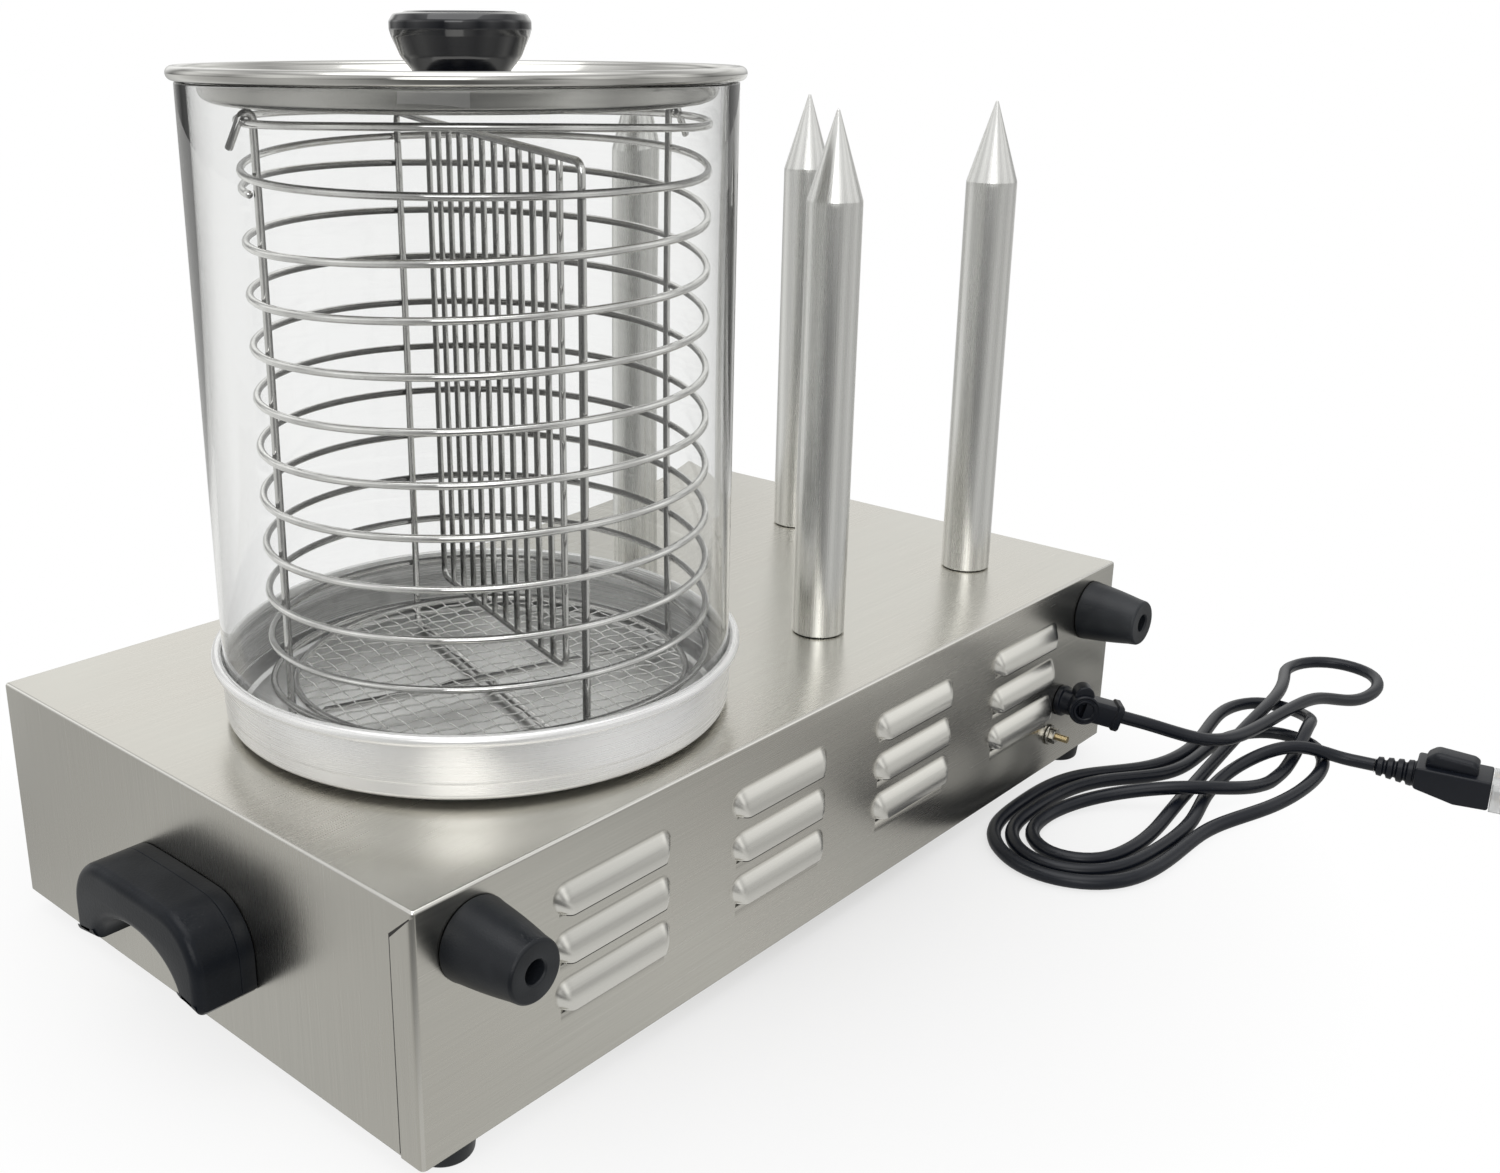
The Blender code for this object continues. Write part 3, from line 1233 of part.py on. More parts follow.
def gland_middle():
    """The corner of the gland, where its neck meets its arm."""
    return Vector((GLAND_X, REAR + GLAND_REACH, HOUSING_LOW + GLAND_LEVEL))


def gland_arm():
    """The direction of the gland's arm: out, towards the near end and a little down."""
    level = math.cos(GLAND_DIP)
    return Vector((-math.sin(GLAND_TURN) * level, math.cos(GLAND_TURN) * level, -math.sin(GLAND_DIP)))


def make_gland():
    """The cord gland: a neck through the rear, a round boss and an arm that aims the cord aside."""
    middle, arm = gland_middle(), gland_arm()
    out = Vector((0, 1, 0))
    side = Vector((math.cos(GLAND_TURN), math.sin(GLAND_TURN), 0))
    start = Vector((GLAND_X, REAR - EARTH_INNER_REACH, middle.z))
    gland = rod("cord_gland", GLAND_NECK_RADIUS, start, middle, BLACK, sides=20)
    base = Vector((GLAND_X, REAR + GAP, middle.z))
    joined = [
        rod("gland_flange", GLAND_FLANGE_RADIUS, base, base + GLAND_FLANGE * out, sides=22, cutter=True),
        rod(
            "gland_boss",
            GLAND_BOSS_RADIUS,
            middle - side * GLAND_BOSS_WIDTH / 2,
            middle + side * GLAND_BOSS_WIDTH / 2,
            sides=22,
            cutter=True,
        ),
    ]
    cap = middle + Vector((0, 0, GLAND_CAP_LEVEL))
    cap_half = GLAND_CAP_WIDTH / 2
    ends = cap - side * cap_half, cap + side * cap_half
    joined.append(rod("gland_cap", GLAND_CAP_RADIUS, *ends, sides=14, cutter=True))
    half = GLAND_ARM_WIDTH / 2
    rim = half + GLAND_RIM_PROUD
    for name, begin, stop, reach, edge in (
        ("gland_sleeve", 0, GLAND_ARM_LENGTH - GLAND_RIM / 2, half, GLAND_RIM_PROUD),
        ("gland_rim", GLAND_ARM_LENGTH - GLAND_RIM, GLAND_ARM_LENGTH, rim, GLAND_RIM_PROUD / 3),
    ):
        length = stop - begin
        low, high = (-reach, -reach, -length / 2), (reach, reach, length / 2)
        sleeve = block(name, low, high, edge=edge, cutter=True)
        sleeve.location = middle + arm * (begin + stop) / 2
        sleeve.rotation_mode = "QUATERNION"
        sleeve.rotation_quaternion = arm.to_track_quat("Z", "Y")
        joined.append(sleeve)
    for tool in joined:
        combine(gland, tool, "UNION")
    face = middle + side * GLAND_BOSS_WIDTH / 2
    inner, outer = face - side * GLAND_RECESS, face + side * OVERRUN
    combine(gland, rod("gland_recess", GLAND_RECESS_RADIUS, inner, outer, cutter=True))


def make_cord():
    """The mains lead, the ribbed strain relief and the plug with its pins and pin cover."""
    arm = gland_arm()
    start = gland_middle() + arm * (GLAND_ARM_LENGTH + GAP)
    forward = Vector((-math.sin(PLUG_TURN), math.cos(PLUG_TURN), 0))
    plug_start = Vector((PLUG_X, PLUG_Y, 0))
    entry = plug_start + Vector((0, 0, PLUG_HEIGHT / 2))
    relief_start = entry - forward * (GAP + RELIEF_LENGTH)
    end = relief_start - forward * GAP
    route = [
        start,
        start + arm * CORD_STRAIGHT,
        *CORD_ROUTE,
        end - forward * CORD_STRAIGHT,
        end,
    ]
    points = smooth_path(route, CORD_SPACING)
    points[:, 2] = np.maximum(points[:, 2], CORD_LEVEL)
    wire("power_cord", points, CORD_RADIUS, CORD_BLACK)
    length = np.linalg.norm(np.diff(points, axis=0), axis=1).sum()
    print("power_cord:", len(points), "points, length", round(length, 4), "m")
    print("power_cord: least gap to itself", round(least_gap(points, CORD_RADIUS, 2 * CORD_SPACING), 5), "m")
    make_relief(relief_start, forward)
    make_plug(plug_start, forward)


def make_relief(start, forward):
    """A tapered sleeve of ribs and grooves between the cord and the plug."""
    profile = []
    for i in range(RELIEF_RIBS):
        rise, fall = RELIEF_RIB_SHARES
        for share, groove in ((rise, 0), (fall, 0), (RELIEF_GROOVE_SHARE, RELIEF_GROOVE)):
            at = (i + share) / RELIEF_RIBS
            radius = RELIEF_START_RADIUS + (RELIEF_END_RADIUS - RELIEF_START_RADIUS) * at - groove
            profile.append((radius, at * RELIEF_LENGTH))
    first, last = profile[0][0], profile[-1][0]
    profile = [(0, 0), (first, 0), *profile, (last, RELIEF_LENGTH), (0, RELIEF_LENGTH)]
    made = turned("plug_relief", profile[::-1], start, RUBBER, 12)
    made.rotation_mode = "QUATERNION"
    made.rotation_quaternion = forward.to_track_quat("Z", "Y")


def make_plug(start, forward):
    """The moulded plug: a keeled body with a raised grip, three pins and a clear pin cover."""
    heading = math.atan2(forward.y, forward.x)
    length, height = PLUG_LENGTH, PLUG_HEIGHT
    outline = [
        (0, PLUG_KEEL),
        (length * PLUG_KEEL_SHARE, 0),
        (length, PLUG_NOSE),
        (length, height),
        (0, height),
    ]
    shape = outline_solid("plug", outline, PLUG_WIDTH)
    upright = Matrix(((1, 0, 0), (0, 0, -1), (0, 1, 0))).to_4x4()
    bmesh.ops.transform(shape, matrix=upright, verts=shape.verts)
    bmesh.ops.bevel(shape, geom=shape.edges[:], offset=PLUG_ROUND, segments=1, profile=0.5, affect="EDGES")
    body = place("plug", mesh_of("plug", shape), BLACK, start)
    body.rotation_euler = (0, 0, heading)
    half = GRIP_WIDTH / 2
    grip = block(
        "plug_grip",
        (GRIP_SETBACK, -half, height / 2),
        (GRIP_SETBACK + GRIP_LENGTH, half, height + GRIP_HEIGHT),
        edge=GRIP_ROUND,
        segments=3,
        cutter=True,
    )
    turn_about(grip, start, heading)
    combine(body, grip, "UNION")
    face = length + GAP
    level = height / 2
    side = PIN_SIDE
    for name, sign in (("live_pin", -1), ("neutral_pin", 1)):
        middle = level + sign * PIN_SPACING / 2
        blade = block(
            name,
            (face, side - PIN_WIDTH / 2, middle - PIN_THICKNESS / 2),
            (face + PIN_LENGTH, side + PIN_WIDTH / 2, middle + PIN_THICKNESS / 2),
            BRASS,
        )
        turn_about(blade, start, heading)
    earth = side - EARTH_PIN_OFFSET
    pin_start, pin_end = (face, earth, level), (face + PIN_LENGTH, earth, level)
    pin = rod("earth_pin", EARTH_PIN_RADIUS, pin_start, pin_end, BRASS, sides=16)
    pin.rotation_mode = "XYZ"
    turn_about(pin, start, heading)
    outer = PLUG_WIDTH / 2 - GAP
    cover = block(
        "pin_cover",
        (face, -outer, GAP),
        (face + COVER_LENGTH, outer, height - GAP),
        CLEAR,
    )
    inside = block(
        "cover_hollow_tool",
        (face - OVERRUN, -outer + COVER_WALL, GAP + COVER_WALL),
        (face + COVER_LENGTH - COVER_WALL, outer - COVER_WALL, height - GAP - COVER_WALL),
        cutter=True,
    )
    for piece in (cover, inside):
        turn_about(piece, start, heading)
    combine(cover, inside)


def turn_about(piece, start, heading):
    """Turns a piece made along +X at the origin to a heading at a start."""
    turn = Matrix.Rotation(heading, 4, "Z")
    bpy.context.view_layer.update()
    piece.matrix_world = Matrix.Translation(start) @ turn @ piece.matrix_world


def main():
    clear_scene()
    make_housing()
    make_base()
    make_handle("handle_left", 1)
    make_handle("handle_right", -1)
    make_bumpers()
    make_pan()
    make_glass()
    make_lid()
    make_spikes()
    make_basket()
    make_divider()
    make_controls()
    make_wiring()
    make_gland()
    make_cord()


main()
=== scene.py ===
"""Hot dog spike machine: the finished surfaces, materials, light and camera.

Metres, +Z up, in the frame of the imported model. The front faces -Y, the water
pan's end is at +X and the mains lead leaves the rear, +Y.
"""

import math
from contextlib import contextmanager

import bmesh
import bpy
import numpy as np
from mathutils import Matrix, Vector
from mathutils.geometry import tessellate_polygon

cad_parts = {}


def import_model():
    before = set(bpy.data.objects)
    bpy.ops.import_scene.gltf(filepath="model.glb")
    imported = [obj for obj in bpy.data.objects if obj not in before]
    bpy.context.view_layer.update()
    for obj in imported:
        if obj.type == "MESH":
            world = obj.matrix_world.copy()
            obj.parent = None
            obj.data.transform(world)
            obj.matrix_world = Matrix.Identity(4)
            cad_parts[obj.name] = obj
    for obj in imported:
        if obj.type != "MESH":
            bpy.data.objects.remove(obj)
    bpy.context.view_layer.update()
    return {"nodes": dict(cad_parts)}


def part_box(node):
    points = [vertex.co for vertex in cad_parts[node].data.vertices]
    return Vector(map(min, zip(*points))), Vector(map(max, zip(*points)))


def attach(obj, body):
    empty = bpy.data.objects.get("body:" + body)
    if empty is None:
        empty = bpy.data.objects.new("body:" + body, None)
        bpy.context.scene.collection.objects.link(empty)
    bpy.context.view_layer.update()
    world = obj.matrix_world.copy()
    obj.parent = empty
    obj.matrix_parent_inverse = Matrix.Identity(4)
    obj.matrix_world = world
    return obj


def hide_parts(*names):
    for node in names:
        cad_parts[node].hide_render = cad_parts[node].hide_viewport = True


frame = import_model()

# Sizes
MM = 0.001
SEAT_GAP = 0.0003  # between pieces that seat on one another
REAR, FRONT, END = 0.13875, -0.14625, 0.250  # the housing's walls
LOW, TOP, SHEET, BEND = 0.010, 0.114, 0.001, 0.0015
MIDDLE_Y = -0.00375
PAN, BASKET = (0.1116, 0.01825), (0.1081, 0.02225)  # upright axes
PAN_BASE, PAN_RIM = 0.1161, 0.1449
GLASS_LOW, GLASS_HIGH, GLASS_R, GLASS_WALL = 0.1194, 0.3740, 0.1087, 0.003
COIL_R, WIRE_R, ROD_R, ROD_CIRCLE = 0.0925, 0.0015, 0.0016, 0.0892
COIL_PITCH, COIL_TURNS = 0.019902, 10.25
HOOK_TURN, PLAIN_TURN = math.radians(-18), math.radians(72)
SPIKES = [(x, y + MIDDLE_Y) for x in (-0.187, -0.052) for y in (-0.032, 0.085)]
CONTROL_Z = 0.062
CORD_R = 0.0036
REARWARDS, UP = np.array([0.0, 1.0, 0.0]), np.array([0.0, 0.0, 1.0])


# Surfaces
def face_grid(rows, columns, wrap_rows=False, wrap_columns=False):
    """Quads between neighbouring points of a rows by columns grid, joined at its ends if it wraps."""
    r = np.arange(rows if wrap_rows else rows - 1)[:, None]
    c = np.arange(columns if wrap_columns else columns - 1)[None]
    r2, c2 = (r + 1) % rows, (c + 1) % columns
    quads = [r * columns + c, r * columns + c2, r2 * columns + c2, r2 * columns + c]
    return np.stack(np.broadcast_arrays(*quads), -1).reshape(-1, 4)


def linked(name, data):
    """A new object of the scene that shows a mesh, curve, lamp or camera."""
    thing = bpy.data.objects.new(name, data)
    bpy.context.scene.collection.objects.link(thing)
    return thing


def read(items, field, width=1, kind=np.float32):
    """One field of all points, faces or corners of a mesh, as an array."""
    values = np.zeros(len(items) * width, kind)
    items.foreach_get(field, values)
    return values.reshape(-1, width) if width > 1 else values


@contextmanager
def opened(mesh):
    """A mesh opened for bmesh steps, and written back after them."""
    work = bmesh.new()
    work.from_mesh(mesh)
    yield work
    work.to_mesh(mesh)
    work.free()


def unwrap(mesh, uv):
    """Gives each corner its point's surface place; a face across the turn's end runs on past 1."""
    wrapped = uv[read(mesh.loops, "vertex_index", kind=np.int32)]
    owner = np.repeat(np.arange(len(mesh.polygons)), read(mesh.polygons, "loop_total", kind=np.int32))
    high = np.full(len(mesh.polygons), -1e9)
    np.maximum.at(high, owner, wrapped[:, 0])
    wrapped[:, 0] += np.where(high[owner] - wrapped[:, 0] > 0.5, 1.0, 0.0)
    mesh.uv_layers.new(name="surface").data.foreach_set("uv", wrapped.astype(np.float32).ravel())


def piece(name, points, faces, materials, body="housing", node=None, uv=None, slots=None, weld=None):
    """A mesh object from points and faces, with its materials, its body and the node it stands for."""
    mesh = bpy.data.meshes.new(name)
    corners = [list(map(int, face)) for face in faces]
    mesh.from_pydata(np.asarray(points, float).reshape(-1, 3).tolist(), [], corners)
    if uv is not None:
        unwrap(mesh, np.asarray(uv, float).reshape(-1, 2))
    for material in materials if isinstance(materials, list) else [materials]:
        mesh.materials.append(material)
    if slots is not None:
        mesh.polygons.foreach_set("material_index", np.asarray(slots, np.int32))
    mesh.update()
    if weld:
        clean(mesh, weld)
    mesh.polygons.foreach_set("use_smooth", np.ones(len(mesh.polygons), bool))
    thing = linked(name, mesh)
    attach(thing, body)
    if node:
        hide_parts(node)
    return thing


def clean(mesh, distance):
    """Welds doubled points, drops faces without area and turns all faces outwards."""
    with opened(mesh) as work:
        bmesh.ops.remove_doubles(work, verts=work.verts, dist=distance)
        bmesh.ops.dissolve_degenerate(work, edges=work.edges, dist=distance / 2)
        bmesh.ops.recalc_face_normals(work, faces=work.faces)


def sharpen(thing, degrees):
    """Keeps edges sharper than an angle crisp under smooth shading."""
    thing.data.set_sharp_from_angle(angle=math.radians(degrees))
    return thing


def rounded(points, radii, steps, closed=False):
    """A flat outline whose corners are arcs: each corner is cut back and turned through on a circle."""
    p = np.array(points, float)
    count = len(p)
    out = []
    for i in range(count):
        radius = radii[i] if np.ndim(radii) else radii
        if radius <= 0 or (not closed and i in (0, count - 1)):
            out.append(p[i][None])
            continue
        a, b = p[i - 1] - p[i], p[(i + 1) % count] - p[i]
        la, lb = np.linalg.norm(a), np.linalg.norm(b)
        a, b = a / la, b / lb
        half = math.acos(np.clip(a @ b, -1, 1)) / 2
        if half > math.pi / 2 - 0.01:
            out.append(p[i][None])
            continue
        back = min(radius / math.tan(half), 0.49 * min(la, lb))
        radius = back * math.tan(half)
        middle = p[i] + (a + b) / np.linalg.norm(a + b) * radius / math.sin(half)
        start, end = p[i] + a * back - middle, p[i] + b * back - middle
        sweep = math.pi - 2 * half
        t = np.linspace(0, 1, steps + 1)[:, None]
        arc = (np.sin((1 - t) * sweep) * start + np.sin(t * sweep) * end) / math.sin(sweep)
        out.append(middle + arc)
    return np.vstack(out)


def outline(points, steps, closed=False):
    """A flat outline in metres from points in millimetres, each with its corner's radius if it is round."""
    p = np.array([(*point, 0)[:3] for point in points], float) * MM
    return rounded(p[:, :2], p[:, 2], steps, closed)


def plate(half, low, high, radius, steps):
    """A rectangle with round corners, twice half wide and from low to high."""
    return rounded([(-half, low), (half, low), (half, high), (-half, high)], radius, steps, closed=True)


def standing(way):
    """The turn that lays +Z along a direction, as three columns."""
    z = np.array(way, float)
    x = np.cross((0, 0, 1) if abs(z[2]) < 0.9 else (0, 1, 0), z)
    x /= np.linalg.norm(x)
    return np.column_stack([x, np.cross(z, x), z])


def placed(x, y, depth, at):
    """The matrix that gives a flat outline's x, y and depth their directions and its place."""
    return np.vstack([np.column_stack([x, y, depth, at]), (0, 0, 0, 1)])


def distances(path):
    """How far along a path each of its points lies."""
    return np.r_[0, np.cumsum(np.linalg.norm(np.diff(path, axis=0), axis=1))]


def lathe(name, profile, at, material, node, steps=96, way=UP, sharp=None, body="housing"):
    """A profile of radius and height turned about an axis: x = r cos a, y = r sin a, z = h."""
    profile = np.array(profile, float)
    a = np.linspace(0, 2 * math.pi, steps, endpoint=False)
    r, h = profile[:, 0][:, None], profile[:, 1][:, None]
    points = np.stack([r * np.cos(a), r * np.sin(a), h + 0 * a], -1) @ standing(way).T + np.array(at, float)
    uv = np.stack(np.broadcast_arrays((a / (2 * math.pi))[None], distances(profile)[:, None]), -1)
    faces = face_grid(len(profile), steps, wrap_columns=True)
    made = piece(name, points, faces, material, body, node, uv=uv, weld=2e-6)
    return sharpen(made, sharp) if sharp else made


def curve_through(points, spacing, first, last):
    """Even points on a cubic curve through given points: its slopes make it bend without a jump.

    It starts along the direction first and ends along the direction last.
    """
    q = np.array(points, float)
    chords = np.linalg.norm(np.diff(q, axis=0), axis=1)
    w = 1 / chords
    system, known = np.eye(len(q)), np.zeros_like(q)
    known[0], known[-1] = first, last
    for i in range(1, len(q) - 1):
        system[i, i - 1 : i + 2] = w[i - 1], 2 * (w[i - 1] + w[i]), w[i]
        known[i] = 3 * ((q[i] - q[i - 1]) * w[i - 1] ** 2 + (q[i + 1] - q[i]) * w[i] ** 2)
    slopes = np.linalg.solve(system, known)
    u, h = np.linspace(0, 1, 24, endpoint=False)[None, :, None], chords[:, None, None]
    dense = (
        (2 * u**3 - 3 * u**2 + 1) * q[:-1, None]
        + (u**3 - 2 * u**2 + u) * h * slopes[:-1, None]
        + (3 * u**2 - 2 * u**3) * q[1:, None]
        + (u**3 - u**2) * h * slopes[1:, None]
    )
    dense = np.vstack([dense.reshape(-1, 3), q[-1:]])
    run = distances(dense)
    even = np.linspace(0, run[-1], int(round(run[-1] / spacing)) + 1)
    return np.stack([np.interp(even, run, dense[:, k]) for k in range(3)], 1)


def frames(path, closed):
    """Directions along a path and two across it that turn as little as they can from point to point."""
    p = np.array(path, float)
    t = np.roll(p, -1, 0) - np.roll(p, 1, 0) if closed else np.gradient(p, axis=0)
    t /= np.linalg.norm(t, axis=1)[:, None]
    start = np.cross(t[0], (0, 0, 1) if abs(t[0, 2]) < 0.9 else (1, 0, 0))
    side = [start / np.linalg.norm(start)]
    for i in range(1, len(p)):
        s = side[-1] - t[i] * (side[-1] @ t[i])
        side.append(s / np.linalg.norm(s))
    side = np.array(side)
    return t, side, np.cross(t, side)


def tube(path, radius, sides, closed=False, dome=True):
    """A round tube along a path: point + r (side cos a + up sin a), with domed ends if it is open."""
    blunt = 0.6
    p = np.array(path, float)
    t, side, up = frames(p, closed)
    r = np.full(len(p), float(radius))
    if dome and not closed:
        e = np.radians([90, 60, 30])
        out, cap = (radius * np.sin(e))[:, None] * blunt, np.maximum(radius * np.cos(e), 1e-6)
        p = np.vstack([p[0] - t[0] * out, p, p[-1] + t[-1] * out[::-1]])
        r = np.r_[cap, r, cap[::-1]]
        side, up = (np.vstack([np.repeat(v[:1], 3, 0), v, np.repeat(v[-1:], 3, 0)]) for v in (side, up))
    turn = math.atan2(*(side[-1] @ v for v in (up[0], side[0]))) if closed else 0.0
    shares = np.linspace(0, 1, sides, endpoint=False)[None]
    a = np.linspace(0, 2 * math.pi, sides, endpoint=False)[None]
    a = a - (turn * np.arange(len(p)) / len(p))[:, None]
    ring = side[:, None] * np.cos(a)[..., None] + up[:, None] * np.sin(a)[..., None]
    points = p[:, None] + ring * r[:, None, None]
    uv = np.stack(np.broadcast_arrays(shares, distances(p)[:, None]), -1)
    return points.reshape(-1, 3), face_grid(len(p), sides, closed, True), uv.reshape(-1, 2)


def gather(parts):
    """Several surfaces as one: their points, faces and surface places in a row."""
    points, faces, uvs = zip(*parts)
    starts = np.cumsum([0] + [len(p) for p in points])
    return np.vstack(points), np.vstack([f + start for f, start in zip(faces, starts)]), np.vstack(uvs)


def wires(name, parts, material, body, node):
    """One piece made of several tubes."""
    points, faces, uv = gather(parts)
    return piece(name, points, faces, material, body, node, uv=uv)


def slab(name, edge, layers, place, material, node=None, sharp=None, body="housing"):
    """A flat edge line stacked through layers of inset and depth, and closed by flat ends.

    Each layer moves the line inwards along its normals by its inset and sits at its depth.
    """
    q, layers = np.array(edge, float), np.array(layers, float)
    t = np.roll(q, -1, 0) - np.roll(q, 1, 0)
    n = np.stack([t[:, 1], -t[:, 0]], 1) / np.linalg.norm(t, axis=1)[:, None]
    area = 0.5 * np.sum(q[:, 0] * np.roll(q[:, 1], -1) - np.roll(q[:, 0], -1) * q[:, 1])
    n = n if area > 0 else -n
    inset, depth = layers[:, 0][:, None, None], layers[:, 1][:, None, None]
    flat = q[None] - n[None] * inset
    local = np.concatenate([flat, np.broadcast_to(depth, flat.shape[:2] + (1,))], -1).reshape(-1, 3)
    count = len(q)
    faces = face_grid(len(layers), count, wrap_columns=True).tolist()
    for level, order in ((0, slice(None, None, -1)), (len(layers) - 1, slice(None))):
        for corners in tessellate_polygon([[Vector((*v, 0.0)) for v in flat[level]]]):
            faces.append([level * count + i for i in corners][order])
    made = piece(name, local @ place[:3, :3].T + place[:3, 3], faces, material, body, node, weld=1e-6)
    return sharpen(made, sharp) if sharp else made


def round_edge(inset, depth, turn, steps):
    """Layers of a rounded edge: a quarter circle of inset and depth, rising or falling."""
    a = np.linspace(0, math.pi / 2, steps + 1)
    if turn > 0:
        return [(inset * (1 - math.cos(v)), depth - inset + inset * math.sin(v)) for v in a]
    return [(inset * (1 - math.sin(v)), depth + inset - inset * math.cos(v)) for v in a]


# Shader maths
class Wire:
    """A socket whose sums, products and quotients add the Math nodes that work them out."""

    def __init__(self, tree, socket):
        self.tree, self.socket = tree, socket

    def step(self, operation, *values):
        return self.tree.node("ShaderNodeMath", {"operation": operation}, dict(enumerate(values)))

    def __add__(self, other):
        return self.step("ADD", self, other)

    def __sub__(self, other):
        return self.step("SUBTRACT", self, other)

    def __mul__(self, other):
        return self.step("MULTIPLY", self, other)

    def __truediv__(self, other):
        return self.step("DIVIDE", self, other)

    def __rsub__(self, other):
        return self.step("SUBTRACT", other, self)

    __radd__, __rmul__ = __add__, __mul__

    def clamp(self):
        return self.step("MAXIMUM", self.step("MINIMUM", self, 1.0), 0.0)


class Tree:
    """A node tree under construction: each new node is set, linked and handed back as a Wire."""

    def __init__(self, tree):
        self.nodes, self.links = tree.nodes, tree.links

    def put(self, socket, value):
        if isinstance(value, Wire):
            self.links.new(value.socket, socket)
        else:
            socket.default_value = value

    def node(self, kind, settings=None, values=None, out=0):
        made = self.nodes.new(kind)
        for key, value in (settings or {}).items():
            if key == "stops":
                ramp = made.color_ramp.elements
                while len(ramp) < len(value):
                    ramp.new(0.5)
                for element, (position, colour) in zip(ramp, value):
                    element.position, element.color = position, (*colour, 1.0)
            else:
                setattr(made, key, value)
        for key, value in (values or {}).items():
            self.put(made.inputs[key], value)
        return Wire(self, made.outputs[out])

    def split(self, vector):
        """The three coordinates of a vector."""
        made = self.node("ShaderNodeSeparateXYZ", None, {"Vector": vector}).socket.node
        return [Wire(self, made.outputs[k]) for k in range(3)]

    def place(self):
        return self.node("ShaderNodeTexCoord", out="Object")

    def stretch(self, scale, where=None):
        return self.node("ShaderNodeMapping", None, {"Vector": where or self.place(), "Scale": scale})

    def surface(self, scale):
        return self.stretch(scale, self.node("ShaderNodeTexCoord", out="UV"))

    def noise(self, where, scale, detail, roughness=0.5):
        values = {"Vector": where, "Scale": scale, "Detail": detail, "Roughness": roughness}
        return self.node("ShaderNodeTexNoise", None, values)

    def mix(self, share, first, second, blend="MIX"):
        settings = {"data_type": "RGBA", "blend_type": blend}
        return self.node("ShaderNodeMix", settings, {0: share, 6: first, 7: second}, out=2)

    def greys(self, value, stops, blue=1.0):
        """A ramp of greys given as place and level, with their blue scaled."""
        colours = [(t, (v, v, v * blue)) for t, v in stops]
        return self.node("ShaderNodeValToRGB", {"stops": colours}, {0: value})

    def shine(self, kind, colour, strength):
        return self.node(kind, None, {"Color": colour, "Strength": strength})

    def choose(self, share, first, second):
        return self.node("ShaderNodeMixShader", None, {0: share, 1: first, 2: second})


class Finish(Tree):
    """A material under construction, and the shader that its surface ends in."""

    def __init__(self, name, colour, roughness, metallic=0.0, **more):
        self.material = bpy.data.materials.new(name)
        self.material.use_nodes = True
        super().__init__(self.material.node_tree)
        self.shader = self.nodes["Principled BSDF"]
        self.set(Base_Color=(*colour, 1.0), Roughness=roughness, Metallic=metallic, **more)
        self.material.diffuse_color = (*colour, 1.0)

    def set(self, **values):
        for key, value in values.items():
            self.put(self.shader.inputs[key.replace("_", " ")], value)
        return self

    def bump(self, height, strength, distance):
        values = {"Height": height, "Strength": strength, "Distance": distance}
        return self.set(Normal=self.node("ShaderNodeBump", None, values))


def tint(colour, factor):
    """A colour made lighter or darker by a factor, with full alpha."""
    return (*[min(1.0, c * factor) for c in colour], 1.0)


def painted_bend_light(f):
    """Where the sheet's colour is lightened by painted light: a painted highlight of 1 along the bends, less
    on the pressed hoods.
    """
    inset, crispness, hood_crispness = 0.0011, 3000.0, 1500.0
    spots = f.split(f.place())
    spans = [(-END, END), (FRONT, REAR), (-TOP, TOP)]
    x, y, z = [
        ((v.step("ABSOLUTE", v - (low + high) / 2) - ((high - low) / 2 - inset)) * crispness).clamp()
        for v, (low, high) in zip(spots, spans)
    ]
    pressed = ((spots[1] - REAR - 0.0003) * hood_crispness).clamp()
    return z * x.step("MAXIMUM", x, y) + x * y * 0.35 + pressed * (1.0 - x) * 0.8


def brushed_steel(name, grain_scale):
    """Warm grey stainless: fine brush lines along one direction, faint smears, painted light on bends and
    hoods.
    """
    # The pale third colour is a painted highlight, laid on the bends and hoods by the mask below.
    colour, second_tone, painted_highlight_colour = (0.62, 0.608, 0.56), (0.66, 0.60, 0.54, 1), (0.93, 0.92, 0.88, 1)
    f = Finish(name, colour, 0.34, 1.0)
    grain = f.noise(f.stretch(grain_scale), 1.0, 4.0, 0.7)
    band = f.noise(f.stretch([v * 0.12 for v in grain_scale]), 1.0, 2.0)
    smear = f.noise(f.place(), 9.0, 3.0, 0.55)
    shade = f.mix(f.greys(grain, ((0.25, 0), (0.75, 1))), tint(colour, 0.93), tint(colour, 1.05))
    shade = f.mix(f.greys(smear, ((0.38, 0), (0.66, 1))), shade, f.mix(0.16, shade, second_tone))
    # Painted light: lightens the colour along the bends and on the hoods, and lowers the roughness there.
    painted_light = painted_bend_light(f)
    roughness = (0.17 + grain * 0.09 + smear * 0.09 - painted_light * 0.05).clamp()
    f.set(Base_Color=f.mix(painted_light * 0.8, shade, painted_highlight_colour), Roughness=roughness)
    return f.bump(grain * 0.6 + band * 0.4, 0.07, 0.0004).material


def drawn_metal(name, colour, roughness, around, along, strength, contrast, metallic=1.0):
    """Turned or drawn metal: streaks stretched along the surface's own directions, and faint smears."""
    f = Finish(name, colour, roughness, metallic)
    streak = f.noise(f.surface((around, along, 1.0)), 1.0, 4.0, 0.65)
    smear = f.noise(f.place(), 22.0, 2.0)
    f.set(
        Base_Color=f.mix(streak, tint(colour, 1 - contrast), tint(colour, 1 + contrast)),
        Roughness=(roughness - 0.05 + streak * 0.10 + smear * 0.06).clamp(),
    )
    return f.bump(streak, strength, 0.0003).material


